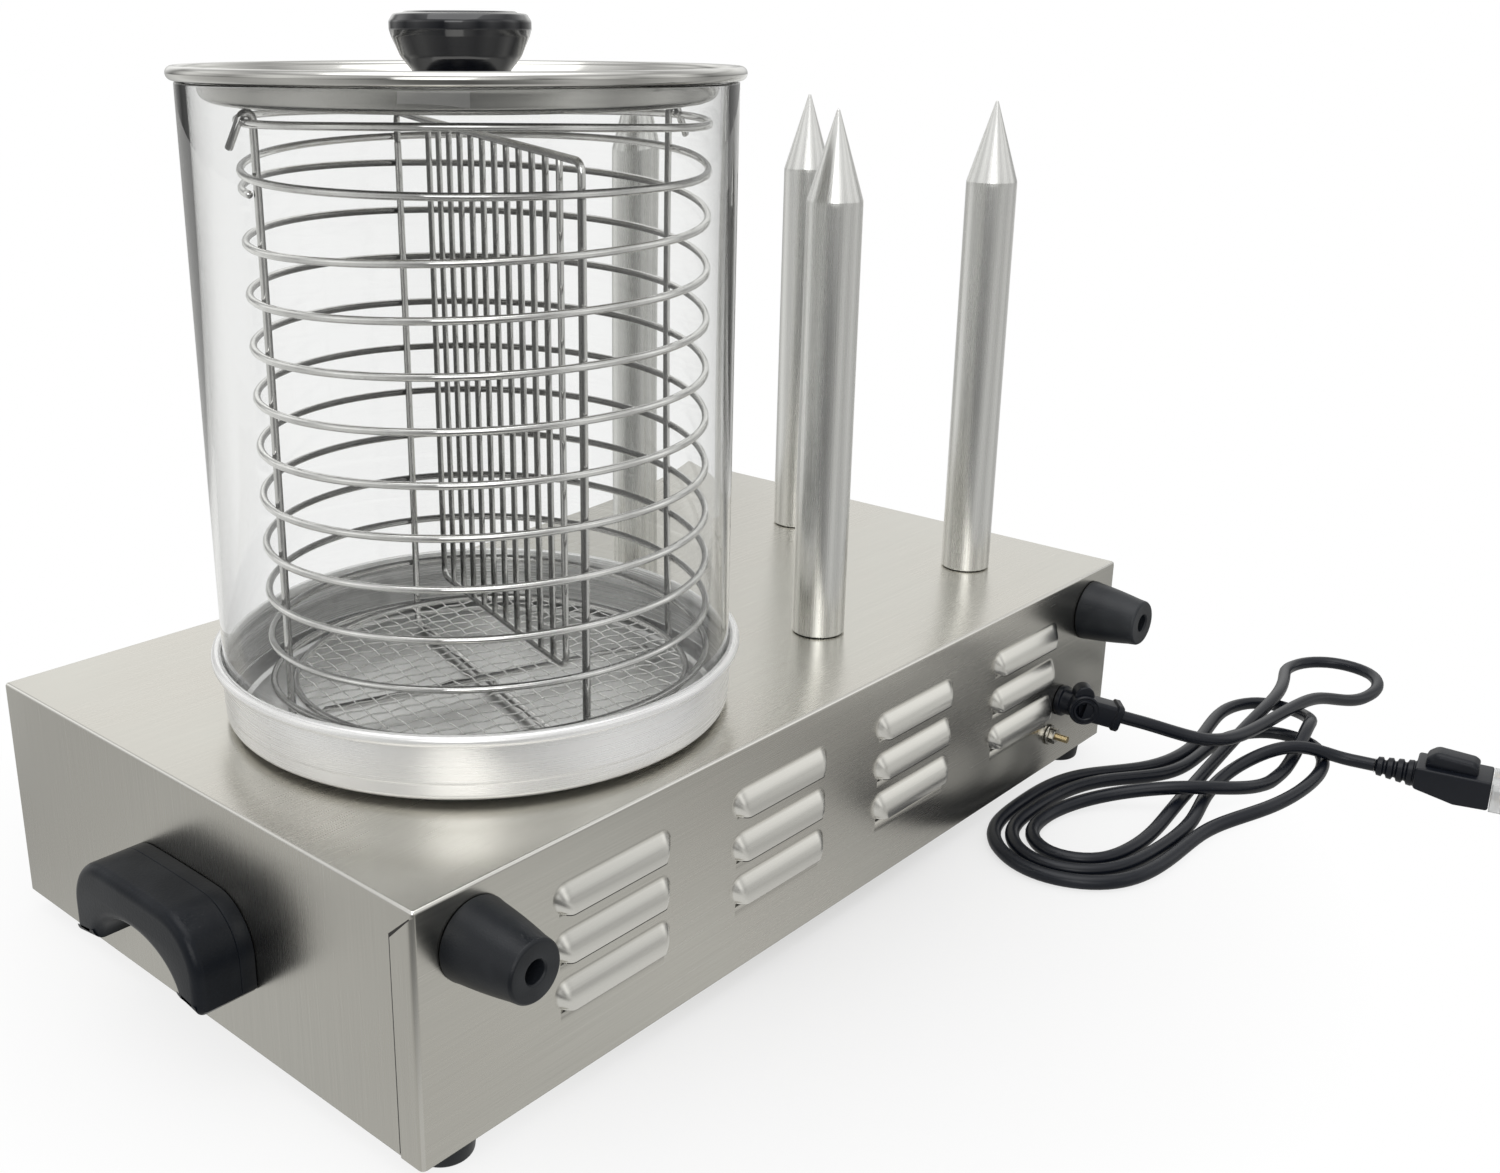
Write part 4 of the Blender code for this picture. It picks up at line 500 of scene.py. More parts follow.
def chrome_wire(name, colour, roughness, second_tone=0.0):
    """Bright drawn wire: a faint lengthwise grain, small dull spots and painted shade darkening one side."""
    f = Finish(name, colour, roughness, 1.0)
    dull = f.noise(f.place(), 160.0, 3.0, 0.6)
    grain = f.noise(f.surface((9.0, 60.0, 1.0)), 1.0, 2.0)
    shade = f.mix(dull, tint(colour, 0.84), tint(colour, 1.12))
    if second_tone:
        # Painted shade: a near-black band around one side of each wire, set by the wire's surface
        # coordinate.
        turn = f.split(f.surface((1, 1, 1)))[0] * (2 * math.pi) + math.pi / 2
        painted_shade_side = (turn.step("COSINE", turn) * 1.3 - 0.15).clamp()
        shade = f.mix(painted_shade_side * second_tone, shade, (0.03, 0.03, 0.028, 1))
    f.set(Base_Color=shade, Roughness=(roughness - 0.06 + dull * 0.14).clamp())
    return f.bump(grain, 0.06, 0.0002).material


def moulded(name, colour, roughness, grain, strength, dust=0.0, gloss=0.34, **more):
    """Moulded plastic or rubber: a fine pebble grain, slight sheen changes and a little dust."""
    f = Finish(name, colour, roughness, 0.0, Specular_IOR_Level=gloss, **more)
    pebble = f.noise(f.place(), grain, 2.0, 0.5)
    patch = f.noise(f.place(), 35.0, 2.0)
    shade = f.mix(pebble, tint(colour, 0.85), tint(colour, 1.2))
    if dust:
        shade = f.mix(f.greys(patch, ((0.5, 0), (0.8, dust))), shade, (0.16, 0.17, 0.18, 1))
    f.set(Base_Color=shade, Roughness=(roughness - 0.06 + patch * 0.12).clamp())
    return f.bump(pebble, strength, 0.0003).material


def clear(name, colour, ior, passing):
    """Clear glass or clear plastic with faint wipe marks in its gloss."""
    f = Finish(name, colour, 0.0, 0.0, IOR=ior, Transmission_Weight=passing)
    wipe = f.noise(f.stretch((14.0, 14.0, 3.0)), 1.0, 4.0, 0.6)
    return f.set(Roughness=(wipe * 0.05 - 0.018).clamp()).material


STEEL_ALONG = brushed_steel("stainless_brushed_lengthwise", (14.0, 1400.0, 1400.0))
STEEL_UPRIGHT = brushed_steel("stainless_brushed_upright", (1400.0, 1400.0, 14.0))
SPUN = drawn_metal("spun_aluminium", (0.95, 0.95, 0.94), 0.24, 1.5, 1500.0, 0.14, 0.05, 0.50)
PAN_FLOOR = drawn_metal("turned_pan_floor", (0.94, 0.94, 0.915), 0.28, 1.5, 1200.0, 0.16, 0.12)
SPIKE_METAL = drawn_metal("drawn_aluminium", (0.84, 0.84, 0.82), 0.24, 150.0, 6.0, 0.22, 0.12)
LID_METAL = drawn_metal("polished_lid_steel", (0.58, 0.575, 0.55), 0.09, 2.0, 700.0, 0.05, 0.06)
# The last value is the share of painted shade on one side of each wire.
CHROME = chrome_wire("bright_wire", (0.92, 0.91, 0.885), 0.09, 0.85)
NET_WIRE = chrome_wire("net_wire", (0.90, 0.90, 0.88), 0.18)
HANDLE_BLACK = moulded("moulded_grip_plastic", (0.0040, 0.0060, 0.0100), 0.34, 900.0, 0.22, 0.10, 0.26)
RUBBER = moulded("bumper_rubber", (0.0045, 0.0065, 0.0100), 0.42, 1300.0, 0.20, 0.16, 0.42)
CORD_BLACK = moulded("lead_sheath", (0.0045, 0.0065, 0.0120), 0.30, 700.0, 0.08, 0.05, 0.40)
PLUG_BLACK = moulded("plug_moulding", (0.0045, 0.0062, 0.0110), 0.36, 900.0, 0.12, 0.06)
KNOB_BLACK = moulded(
    "knob_gloss_black", (0.004, 0.0048, 0.008), 0.10, 60.0, 0.01, gloss=0.5, Coat_Weight=0.6
)
# A near-black finish for painted shadow: strips along the rear laps' seams and the hoods' lower edges.
SEAM_SHADOW = moulded("seam_shadow", (0.035, 0.033, 0.030), 0.7, 400.0, 0.1)
GASKET = moulded("gasket_grey", (0.14, 0.14, 0.14), 0.7, 600.0, 0.2)
CREAM = moulded("switch_cream_plastic", (0.62, 0.58, 0.48), 0.45, 500.0, 0.08, gloss=0.5)
RED = moulded("rocker_red_plastic", (0.55, 0.02, 0.015), 0.22, 500.0, 0.03, gloss=0.5)
BRASS = chrome_wire("brass_fitting", (0.66, 0.53, 0.30), 0.26)
NICKEL = chrome_wire("plated_nut", (0.60, 0.58, 0.53), 0.25)
GLASS = clear("cylinder_glass", (0.970, 0.973, 0.970), 1.43, 1.0)
CLEAR = clear("clear_cover", (0.96, 0.965, 0.965), 1.40, 0.62)


# Housing
LOUVRE_PITCH, LOUVRE_STEP = 0.103, 0.0203
LOUVRE_X = [-0.0015 - LOUVRE_PITCH * 1.5 + LOUVRE_PITCH * i for i in range(4)]
LOUVRE_Z = [LOW + 0.0325 + LOUVRE_STEP * i for i in range(3)]
LOUVRE_HALF, LOUVRE_RISE, LOUVRE_OUT, LOUVRE_FADE = 0.0325, 0.0125, 0.0044, 0.0085


def box_lines(low, high, extra=()):
    """Grid lines across a face: close together in the two bends and wherever extra lines are asked for."""
    bend = BEND * np.linspace(0, 1, 7)
    spread = np.linspace(low + BEND, high - BEND, 14)
    return np.unique(np.round(np.concatenate([low + bend, high - bend, spread, extra]), 6))


def bend_edges(points, low, high):
    """Moves a box's face points onto rounded edges: nearest point of an inner box, plus the bend radius."""
    inner = np.clip(points, low + BEND, high - BEND)
    inner[..., 2] = np.minimum(points[..., 2], high[2] - BEND)
    out = points - inner
    length = np.linalg.norm(out, axis=-1, keepdims=True)
    return inner + out / np.maximum(length, 1e-9) * BEND


def louvre_height(x, z):
    """How far the rear sheet stands out: a hood over each slit, highest at its open lower edge.

    Upwards the hood falls as a quarter cosine, and it fades to its two ends, round as a capsule's.
    """
    total = np.zeros(np.broadcast(x, z).shape)
    radius, least = LOUVRE_RISE / 2, 0.45
    for cx in LOUVRE_X:
        for cz in LOUVRE_Z:
            up = (z - cz) / LOUVRE_RISE
            across = np.cos(math.pi / 2 * np.clip(up, 0, 1) ** 1.22)
            circle = np.sqrt(np.clip(1 - (2 * up - 1) ** 2, 0, 1))
            round_end = radius * np.maximum(circle, np.where(up < 0.5, least, 0))
            past = np.maximum(np.abs(x - cx) - LOUVRE_HALF + LOUVRE_FADE, 0)
            end = past / (LOUVRE_FADE - radius + round_end)
            along = np.cos(math.pi / 2 * np.clip(end, 0, 1) ** 1.7) ** 1.2
            inside = (up > -1e-9) & (up < 1)
            total = np.maximum(total, np.where(inside, LOUVRE_OUT * across * along, 0))
    return total


def make_housing():
    """The cover as one folded sheet: walls and a top with bent edges, hoods pressed over open slits."""
    low, high = np.array([-END, FRONT, LOW]), np.array([END, REAR, TOP])
    materials, open_from = [STEEL_ALONG, STEEL_UPRIGHT, SEAM_SHADOW], 0.0050
    along, upright, shadow_slot = range(len(materials))
    steps = np.concatenate([[0, 0.034], np.linspace(0.07, 1, 21), [1.04, 1.10]])
    straight = LOUVRE_HALF - LOUVRE_FADE
    ends = [side * (straight + LOUVRE_FADE * steps) + cx for cx in LOUVRE_X for side in (-1, 1)]
    xs = box_lines(-END, END, np.concatenate([*ends, LOUVRE_X]))
    ys = box_lines(FRONT, REAR)
    rows = [level for level in box_lines(LOW, TOP) if level > LOW + 1e-6]
    rows += [level for cz in LOUVRE_Z for level in cz + LOUVRE_RISE * steps]
    zs = np.unique(np.round([LOW, *rows], 6))
    parts, slots = [], []

    def add(points, slot):
        faces = face_grid(*points.shape[:2])
        flat = points.reshape(-1, 3)
        parts.append((flat, faces, np.zeros((len(flat), 2))))
        slots.append(np.broadcast_to(slot, len(faces)))

    def bent(x, y, z):
        return bend_edges(np.stack(np.broadcast_arrays(x, y, z), -1), low, high)

    x, z = np.meshgrid(xs, zs)
    cuts = [0] + [int(np.argmin(np.abs(zs - cz))) for cz in LOUVRE_Z] + [len(zs) - 1]
    for start, stop in zip(cuts[:-1], cuts[1:]):
        band_x, band_z = x[start : stop + 1], z[start : stop + 1]
        height = louvre_height(band_x, band_z)
        if stop != cuts[-1]:
            height[-1] = 0
        wall = bent(band_x, REAR, band_z)
        wall[..., 1] += height
        # Painted shade: the face row along each hood's open lower edge, where the hood stands well out,
        # takes the near-black shadow finish.
        lip_shadow = np.full((len(band_z) - 1, len(xs) - 1), along)
        lip_shadow[0] = np.where(height[0, 1:] + height[0, :-1] > open_from, shadow_slot, along)[::-1]
        add(wall[:, ::-1], lip_shadow.ravel())
    add(bent(x, FRONT, z), along)
    y, z = np.meshgrid(ys, zs)
    add(bent(END, y, z), upright)
    add(bent(-END, y, z)[:, ::-1], upright)
    x, y = np.meshgrid(xs, ys)
    add(bent(x, y, TOP), along)
    points, faces, uv = gather(parts)
    shell = piece(
        "housing_shell", points, faces, materials, "housing", "housing_cover", slots=np.concatenate(slots)
    )
    with opened(shell.data) as work:
        bmesh.ops.remove_doubles(work, verts=work.verts, dist=2e-6)
    wall = shell.modifiers.new("sheet", "SOLIDIFY")
    wall.thickness, wall.offset = SHEET, -1.0
    sharpen(shell, 50)


def make_lap(end):
    """The rear sheet's flange: it turns round the corner, lies on the end and stops in a soft mitre."""
    proud, width, edge, top = 0.0007, 0.0122, 0.0003, TOP - BEND - 0.0004
    bend, out = BEND + proud, END + proud
    a = np.linspace(0, math.pi / 2, 9)
    corner = np.stack([out - bend + bend * np.sin(a), bend * np.cos(a) - bend], 1)
    flat = [[out, -bend - 0.001], [out, -width + edge]]
    last = np.stack([out - edge * (1 - np.cos(a)), -width + edge - edge * np.sin(a)], 1)
    tuck = [[out - 2 * edge, -width + edge / 2], [END - 0.0003, -width + 0.0008]]
    path = np.vstack([corner[2:], flat, last, tuck])
    mitre = top - np.maximum(-path[:, 1], 0.0)
    z = LOW + np.linspace(0, 1, 12)[:, None] * (mitre - LOW)[None]
    fall = np.zeros_like(z)
    fall[-1] = proud
    y = REAR + np.broadcast_to(path[:, 1][None], z.shape)
    points = np.stack([end * (path[:, 0][None] - fall), y, z], -1)
    rim = points[-2:-1] * (1, 1, 0) + [0, 0, 1] * points[-1:]
    points = np.concatenate([points[:-1], rim, points[-1:]])
    if end > 0:
        points = points[:, ::-1]
    name = f"corner_lap_{'left' if end > 0 else 'right'}_rear"
    made = piece(name, points, face_grid(*points.shape[:2]), STEEL_UPRIGHT)
    flip_outwards(made, (end, 0.35, 0))
    sharpen(made, 55)
    # Painted shadow: a near-black strip beside the lap's edge, up its mitre and along the bend, where the
    # seam's shade falls.
    seam_x = end * (END + 0.00012)
    rows = [(width, 0.0011, LOW), (width, 0.0010, top - width), (BEND, 0.0004, top - BEND)]
    strip = [(seam_x, REAR - (depth + w), z + w) for depth, wide, z in rows for w in (-0.0008, wide)]
    flip_outwards(piece(name + "_seam", strip, [(0, 1, 3, 2), (2, 3, 5, 4)], SEAM_SHADOW), (end, 0, 0))


def flip_outwards(made, towards):
    """Turns an open sheet's faces so that most of them face a direction."""
    mesh = made.data
    facing = read(mesh.polygons, "normal", 3) @ np.array(towards, float)
    if (facing * read(mesh.polygons, "area")).sum() < 0:
        mesh.flip_normals()


def make_feet():
    """Four moulded rubber feet with a rounded sole and a screw well."""
    profile = outline(
        [(0, 10), (12.6, 10, 0.3), (12.8, 9.4, 0.4), (11.8, 0, 1.4), (5, 0, 0.4), (4.6, 3, 0.3), (0, 3)], 5
    )
    for i, (x, y) in enumerate([(x, y) for x in (-1, 1) for y in (-1, 1)], 1):
        at = (x * (END - 0.021), MIDDLE_Y + y * 0.1275, 0)
        lathe(f"rubber_foot_{i}", profile, at, RUBBER, f"foot_{i}", 48, sharp=60)


def make_handles():
    """Moulded grips: an arched bar on two feet, its front edges rounded, with a fine parting line."""
    half, foot, depth, edge, shoulder_r = 0.0455, 0.0155, 0.026, 0.0046, 0.022
    low, high, rise = 0.030 + LOW, 0.067 + LOW, 0.0185
    a = np.radians(np.linspace(0, 90, 18))
    shoulder_at = np.array([half - shoulder_r, high - shoulder_r])
    shoulder = shoulder_at + shoulder_r * np.stack([np.cos(a), np.sin(a)], 1)
    side = np.stack([np.full(6, half), np.linspace(low + 0.002, shoulder[0, 1], 7)[:-1]], 1)
    crown = np.stack([np.linspace(half - shoulder_r, 0, 10)[1:], np.full(9, high)], 1)
    right = np.vstack([[half - 0.002, low], side, shoulder, crown])
    swell = 0.0009 * np.cos(np.clip(right[:, 0] / half, 0, 1) * math.pi / 2)
    right[:, 1] += swell * (right[:, 1] > high - 0.010) - 0.0004
    outer = np.vstack([right, (right * (-1, 1))[::-1][1:]])
    b = np.radians(np.linspace(176, 4, 41))
    arch = np.stack([(half - foot) * np.cos(b), low + 0.0004 + rise * np.sin(b)], 1)
    layers = [(0.0003, 0.0), (0.0, 0.0004), (0.0, 0.0064), (0.00035, 0.0067), (0.0, 0.0070)]
    layers += [(0.0, depth - edge), *round_edge(edge, depth, 1, 9)]
    shape = np.vstack([outer, arch])
    for name, end in (("left", 1), ("right", -1)):
        place = placed((0, end, 0), UP, (end, 0, 0), (end * (END + SEAT_GAP), MIDDLE_Y, 0))
        slab(f"grip_{name}", shape, layers, place, HANDLE_BLACK, f"handle_{name}", 40)


def make_bumpers():
    """Tapered rubber bumpers, slightly waisted, with a rounded tip and a deep screw well."""
    well = 11
    t = np.linspace(0, 1, 12)[1:-1]
    taper = zip(16.0 - 4.0 * t + 0.4 * np.sin(math.pi * t), 0.8 + 27.7 * t)
    tip = [(12, 30, 1.2), (11.2, 31, 1), (5.2, 31, 0.5), (4.5, 30.3, 0.5), (4.4, well + 0.2, 0.4), (0, well)]
    profile = outline([(0, 0), (15.9, 0, 0.2), (16.2, 0.6, 0.3), *taper, *tip], 5)
    screw = outline([(0, 0), (3.2, 0), (3.6, 0.6), (3.4, 1.6), (1.2, 2), (1, 1.2), (0, 1)], 1)
    for name, side in (("left", 1), ("right", -1)):
        at = np.array([side * (END - 0.0265), REAR + SEAT_GAP, LOW + 0.0825])
        lathe(f"bumper_tapered_{name}", profile, at, RUBBER, f"bumper_{name}", 96, REARWARDS)
        seat = at + REARWARDS * (well + 0.1) * MM
        lathe(f"bumper_screw_{name}", screw, seat, NICKEL, None, 32, REARWARDS, 40)


# Pan and glass
def make_pan():
    """The spun pan: a rolled bead, a wall that draws in to a soft bottom corner, and a stepped floor."""
    bead, soft = 0.0025, 0.0032
    centre = PAN_RIM - PAN_BASE - bead
    a, b = np.radians(np.linspace(132, -150, 26)), np.radians(np.linspace(0, -90, 10))
    roll = np.stack([0.111 + bead * np.cos(a), centre + bead * np.sin(a)], 1)
    inside = [(0, 1.5), (99.5, 1.5, 1), (101.2, 3, 1), (106.5, 3, 3.5), (109.3, 7.5, 4), (109.3, 22)]
    outside = [(0.1096, centre - 0.0012), (0.1085, centre - 0.0042), (0.1090, 0.0125)]
    corner = np.stack([0.1090 - soft + soft * np.cos(b), soft + soft * np.sin(b)], 1)
    profile = np.vstack([outline(inside, 6), roll, outside, corner, [[0.05, 0.0], [0, 0.0]]])
    made = lathe("pan_spun", profile, (*PAN, PAN_BASE), [SPUN, PAN_FLOOR], "water_pan", 160)
    x, y, z = (read(made.data.polygons, "center", 3) - (*PAN, PAN_BASE)).T
    floor = (np.hypot(x, y) < 0.1085) & (z > 0.001) & (z < 0.006)
    made.data.polygons.foreach_set("material_index", floor.astype(np.int32))
    stud = outline([(0, 0.2), (3, 0.2), (3, -18), (2.6, -18.5), (0, -18.5)], 1)
    lathe("pan_stud", stud, (*PAN, PAN_BASE), NICKEL, None, 32, sharp=40)


def make_glass():
    """The glass cylinder: a ring of 3 mm wall with ground and rounded rims."""
    r, inner, edge, middle = GLASS_R, GLASS_R - GLASS_WALL, 0.0008, 0.02
    h = GLASS_HIGH - GLASS_LOW
    wall = [(r, middle), (r, h), (inner, h), (inner, 0), (r, 0), (r, middle)]
    profile = rounded(wall, [0, edge, edge, edge, edge, 0], 6)
    lathe("glass_tube", profile, (*PAN, GLASS_LOW), GLASS, "glass_cylinder", 160, body="glass")


def make_lid():
    """The lid: a rolled rim, a short skirt, a dished plate that rises to the knob's seat, and the knob."""
    rim_r, rim_z, rim = 0.1088, 0.3770, 0.0027
    dish, seat, sheet, hole = 0.3645, 0.3710, 0.001, 0.0023
    a = np.radians(np.linspace(165, -165, 40))
    roll = np.stack([rim_r + rim * np.cos(a), rim_z + rim * np.sin(a)], 1)
    under = [(0.1015, 0.3735), (0.1015, dish), (0.030, seat), (hole, seat)]
    over = [(hole, seat + sheet), (0.030, seat + sheet), (0.1004, dish + sheet), (0.1004, 0.3745)]
    under = rounded(under, [0, 0.004, 0.002, 0], 8)
    over = rounded(over, [0, 0.002, 0.0035, 0], 8)
    profile = np.vstack([over, roll, under, over[:1]])
    lathe("lid_dished", profile, (*PAN, 0), LID_METAL, "lid", 160, body="lid")
    knob = [
        (0, 27.2), (21.2, 27.2, 0.6), (22.2, 26.6, 0.4), (25.8, 26.2, 1.6), (27.5, 23.6, 2.2),
        (27.5, 20.5, 2), (26.8, 18, 6), (23.5, 10.5, 8), (19.2, 5.2, 1.2), (19, 3.3, 0.6), (17.2, 3, 0.4),
        (16.5, 2.4, 0.4), (16.5, 0, 0.3), (0, 0),
    ]
    at = (*PAN, seat + sheet + SEAT_GAP)
    lathe("knob_turned", outline(knob, 7), at, KNOB_BLACK, "lid_knob", 128, sharp=50, body="lid")
    head = outline([(0, 0), (4.8, 0), (5, -0.8), (4, -2.4), (1.2, -2.7), (1, -1.5), (0, -1.5)], 1)
    lathe("knob_screw", head, (*PAN, seat - SEAT_GAP), NICKEL, "lid_screw", 32, sharp=40, body="lid")


def make_spikes():
    """Spikes: a straight barrel with a crisp shoulder, a turned cone and a small soft tip."""
    radius, shoulder = 0.0128, 0.2045
    tip = [(0, 246), (0.7, 245.6, 0.5), (12.75, 206.2, 1.2), (12.8, 204.5, 1)]
    profile = outline([*tip, (12.8, 0.6, 0.6), (12.2, 0, 0.4), (9, 0), (0, 0)], 5)
    spot = int(np.argmax((profile[:, 0] > radius - 0.0001) & (profile[:, 1] < shoulder - 0.0001)))
    barrel = np.stack([np.full(12, radius), np.linspace(0.2035, 0.001, 12)], 1)
    foot = profile[spot:][profile[spot:, 1] < 0.0009]
    profile = np.vstack([profile[:spot], barrel, foot])
    for i, (x, y) in enumerate(SPIKES, 1):
        lathe(f"spike_turned_{i}", profile, (x, y, TOP + SEAT_GAP), SPIKE_METAL, f"spike_{i}", sharp=14)


# Basket
SECOND_RING, TOP_RING, TOP_TILT, TOP_TURN = 0.3376, 0.354, 0.0066, math.radians(45)
COIL_TOP, PLAIN_TOP = 0.3317, 0.3355


def around(turn, reach, level):
    """A point at a reach from the basket's axis along a turn."""
    return np.array([BASKET[0] + reach * math.cos(turn), BASKET[1] + reach * math.sin(turn), level])


def ring(radius, level, tilt=0.0, tilt_turn=0.0):
    """A level or tilted ring: radius about the basket's axis, higher by tilt cos(a - turn)."""
    a = np.linspace(0, 2 * math.pi, 144, endpoint=False)
    level = level + tilt * np.cos(a - tilt_turn)
    return np.stack([BASKET[0] + radius * np.cos(a), BASKET[1] + radius * np.sin(a), level], 1)


def make_basket():
    """The basket: a rising coil, two rings, two crossing U wires, one with hooks, and the tray."""
    back = np.linspace(COIL_TURNS, 0, int(COIL_TURNS * 96))
    a = HOOK_TURN - 2 * math.pi * back
    level = COIL_TOP - COIL_PITCH * back
    coil = np.stack([BASKET[0] + COIL_R * np.cos(a), BASKET[1] + COIL_R * np.sin(a), level], 1)
    wires("coil_wire", [tube(coil, WIRE_R, 10)], CHROME, "basket", "basket_coil")
    for name, path in (
        ("second_ring", ring(COIL_R, SECOND_RING)),
        ("top_ring", ring(COIL_R, TOP_RING, TOP_TILT, TOP_TURN)),
    ):
        wires(f"{name}_wire", [tube(path, WIRE_R, 10, True)], CHROME, "basket", f"basket_{name}")

    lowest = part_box("basket_hook_wire")[0].z + ROD_R
    hook_cross = lowest + 0.0045
    plain_cross = hook_cross - 2 * ROD_R - SEAT_GAP

    def foot(turn, cross):
        """A wire's lower corner: a quarter turn inwards, then a slope to the level of the crossing."""
        bend = 0.0042
        b = np.radians(np.linspace(0, 90, 7))
        middle = ROD_CIRCLE - bend
        arc = [around(turn, middle + bend * math.cos(v), lowest + bend - bend * math.sin(v)) for v in b]
        return [*arc, around(turn, ROD_CIRCLE - 0.009, lowest), around(turn, ROD_CIRCLE - 0.014, cross)]

    def hook(turn):
        """A wire's top, bent outwards over the top ring: a straight end and most of a half circle."""
        level = TOP_RING + TOP_TILT * math.cos(turn - TOP_TURN) + WIRE_R + SEAT_GAP + ROD_R
        b, bend = np.radians(np.linspace(28, 180, 8)), 0.0024
        middle = ROD_CIRCLE + bend
        arc = [around(turn, middle + bend * math.cos(v), level - bend + bend * math.sin(v)) for v in b]
        return [around(turn, ROD_CIRCLE + 0.0093, level - 0.0115), *arc]

    def plain(turn):
        """A wire's straight top."""
        return [around(turn, ROD_CIRCLE, PLAIN_TOP)]

    for name, node, turn, top, cross, dome in (
        ("hooked_wire", "basket_hook_wire", HOOK_TURN, hook, hook_cross, True),
        ("plain_wire", "basket_plain_wire", PLAIN_TURN, plain, plain_cross, False),
    ):
        far = turn + math.pi
        path = [*top(turn), *foot(turn, cross), *foot(far, cross)[::-1], *top(far)[::-1]]
        wires(name, [tube(refine(path), ROD_R, 10, dome=dome)], CHROME, "basket", node)
    make_tray()


def refine(path):
    """Even points on the straight runs between given points, with the points themselves kept."""
    p, spacing = np.array(path, float), 0.009
    out = []
    for a, b in zip(p[:-1], p[1:]):
        n = max(1, int(np.linalg.norm(b - a) / spacing))
        out.append(a + (b - a) * (np.arange(n) / n)[:, None])
    return np.vstack([*out, p[-1:]])


def make_tray():
    """The tray: a rim wire and a woven net, each wire passing over and under the ones it crosses."""
    rim, pitch, thin, lift, rows = 0.0838, 0.0074, 0.00036, 0.00034, 11
    level = sum(v.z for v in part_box("tray_net")) / 2
    wires("tray_rim_wire", [tube(ring(rim, level), WIRE_R, 10, True)], CHROME, "basket", "tray_rim")
    radius = rim - WIRE_R * 0.4
    turn = PLAIN_TURN + math.radians(4)
    c, s = math.cos(turn), math.sin(turn)
    parts = []
    for along_u in (True, False):
        for row, offset in enumerate(np.arange(-rows, rows + 1) * pitch):
            if abs(offset) >= radius - 0.004:
                continue
            half = math.sqrt(radius**2 - offset**2)
            run = np.linspace(-half, half, max(12, int(half * 2 / pitch * 4)))
            wave = np.cos(math.pi * (run / pitch + row + (0 if along_u else 1))) * lift
            fade = np.clip((half - np.abs(run)) / 0.002, 0, 1)
            beside = offset + 0.0004 * np.sin(run * 70 + offset * 900)
            u, v = (run, beside) if along_u else (beside, run)
            height = level + wave * fade - 0.0003
            path = np.stack([BASKET[0] + u * c - v * s, BASKET[1] + u * s + v * c, height], 1)
            parts.append(tube(path, thin, 5, dome=False))
    wires("woven_net", parts, NET_WIRE, "basket", "tray_net")


def make_divider():
    """The divider: a bent rail, a U frame and ten upright bars, all welded round wire."""
    low, high, corner, pitch, bars = 0.1535, 0.348, 0.004, 0.0113, 10
    rail_r, frame_r, bar_r = 0.0015, 0.00135, 0.00128
    first = 0.010 - pitch * (bars + 1) / 2
    last = first + pitch * (bars + 1)

    def bent(points, radii):
        return refine([around(PLAIN_TURN, r, z) for r, z in rounded(points, radii, 6)])

    radii = [0, corner, corner, 0]
    rail = [(-ROD_CIRCLE, 0.3358), (-ROD_CIRCLE, high), (ROD_CIRCLE, high), (ROD_CIRCLE, 0.3358)]
    parts = [
        tube(bent(rail, radii), rail_r, 10, dome=False),
        tube(bent([(first, high), (first, low), (last, low), (last, high)], radii), frame_r, 10),
    ]
    for i in range(1, bars + 1):
        ends = [around(PLAIN_TURN, first + pitch * i, z) for z in (low - 0.0003, high + 0.0004)]
        parts.append(tube(refine(ends), bar_r, 10))
    wires("divider_wire", parts, CHROME, "divider", "divider")


# Controls
def make_controls():
    """The thermostats' knobs and the rocker switches on the front."""
    for i, x in enumerate((-0.070, 0.070), 1):
        make_dial(i, x)
    for i, x in enumerate((-0.135, 0.135), 1):
        make_switch(i, x)


def make_dial(i, x):
    """A thermostat knob: a skirt with flutes as cos(24 a), and a ridge with a mark as its pointer."""
    count, flutes, flute = 144, 24, 0.00028
    a = np.linspace(0, 2 * math.pi, count, endpoint=False)
    top = [(0, 22.2), (13.6, 22.2, 1), (15, 21.4, 1.2), (16.4, 5.2, 1.2), (18.8, 3.6, 0.6)]
    skirt = [(19, 0.6, 0.5), (18.6, 0, 0.4), (3.5, 0, 0.3), (3.5, 6, 0.3), (0, 6)]
    profile = outline([*top, *skirt], 5)
    r, h = profile[:, 0][:, None], profile[:, 1][:, None]
    gripped = (h > 0.006) & (h < 0.0205) & (r > 0.012)
    r = r + (flute * np.cos(flutes * a))[None] * gripped
    points = np.stack([r * np.cos(a), -(h + 0 * a), r * np.sin(a)], -1) + (x, FRONT - SEAT_GAP, CONTROL_Z)
    faces, body = face_grid(len(profile), count, wrap_columns=True), f"knob_{i}"
    made = piece(f"dial_{i}", points, faces, HANDLE_BLACK, body, f"thermostat_knob_{i}", weld=2e-6)
    sharpen(made, 40)

    def before(depth):
        """A flat outline's place in front of the knob."""
        return placed((1, 0, 0), UP, -REARWARDS, (x, FRONT - depth, CONTROL_Z))

    ridge = plate(0.0022, -0.0080, 0.0125, 0.0016, 5)
    layers = [(0, -0.0006), (0, 0.0006), *round_edge(0.0006, 0.0014, 1, 4)]
    slab(f"dial_ridge_{i}", ridge, layers, before(0.0223), HANDLE_BLACK, sharp=40, body=body)
    mark = plate(0.0006, 0.0045, 0.0120, 0.0003, 3)
    layers = [(0, -0.0002), (0, 0.0), (0.0002, 0.00008)]
    slab(f"dial_mark_{i}", mark, layers, before(0.02371), CREAM, body=body)


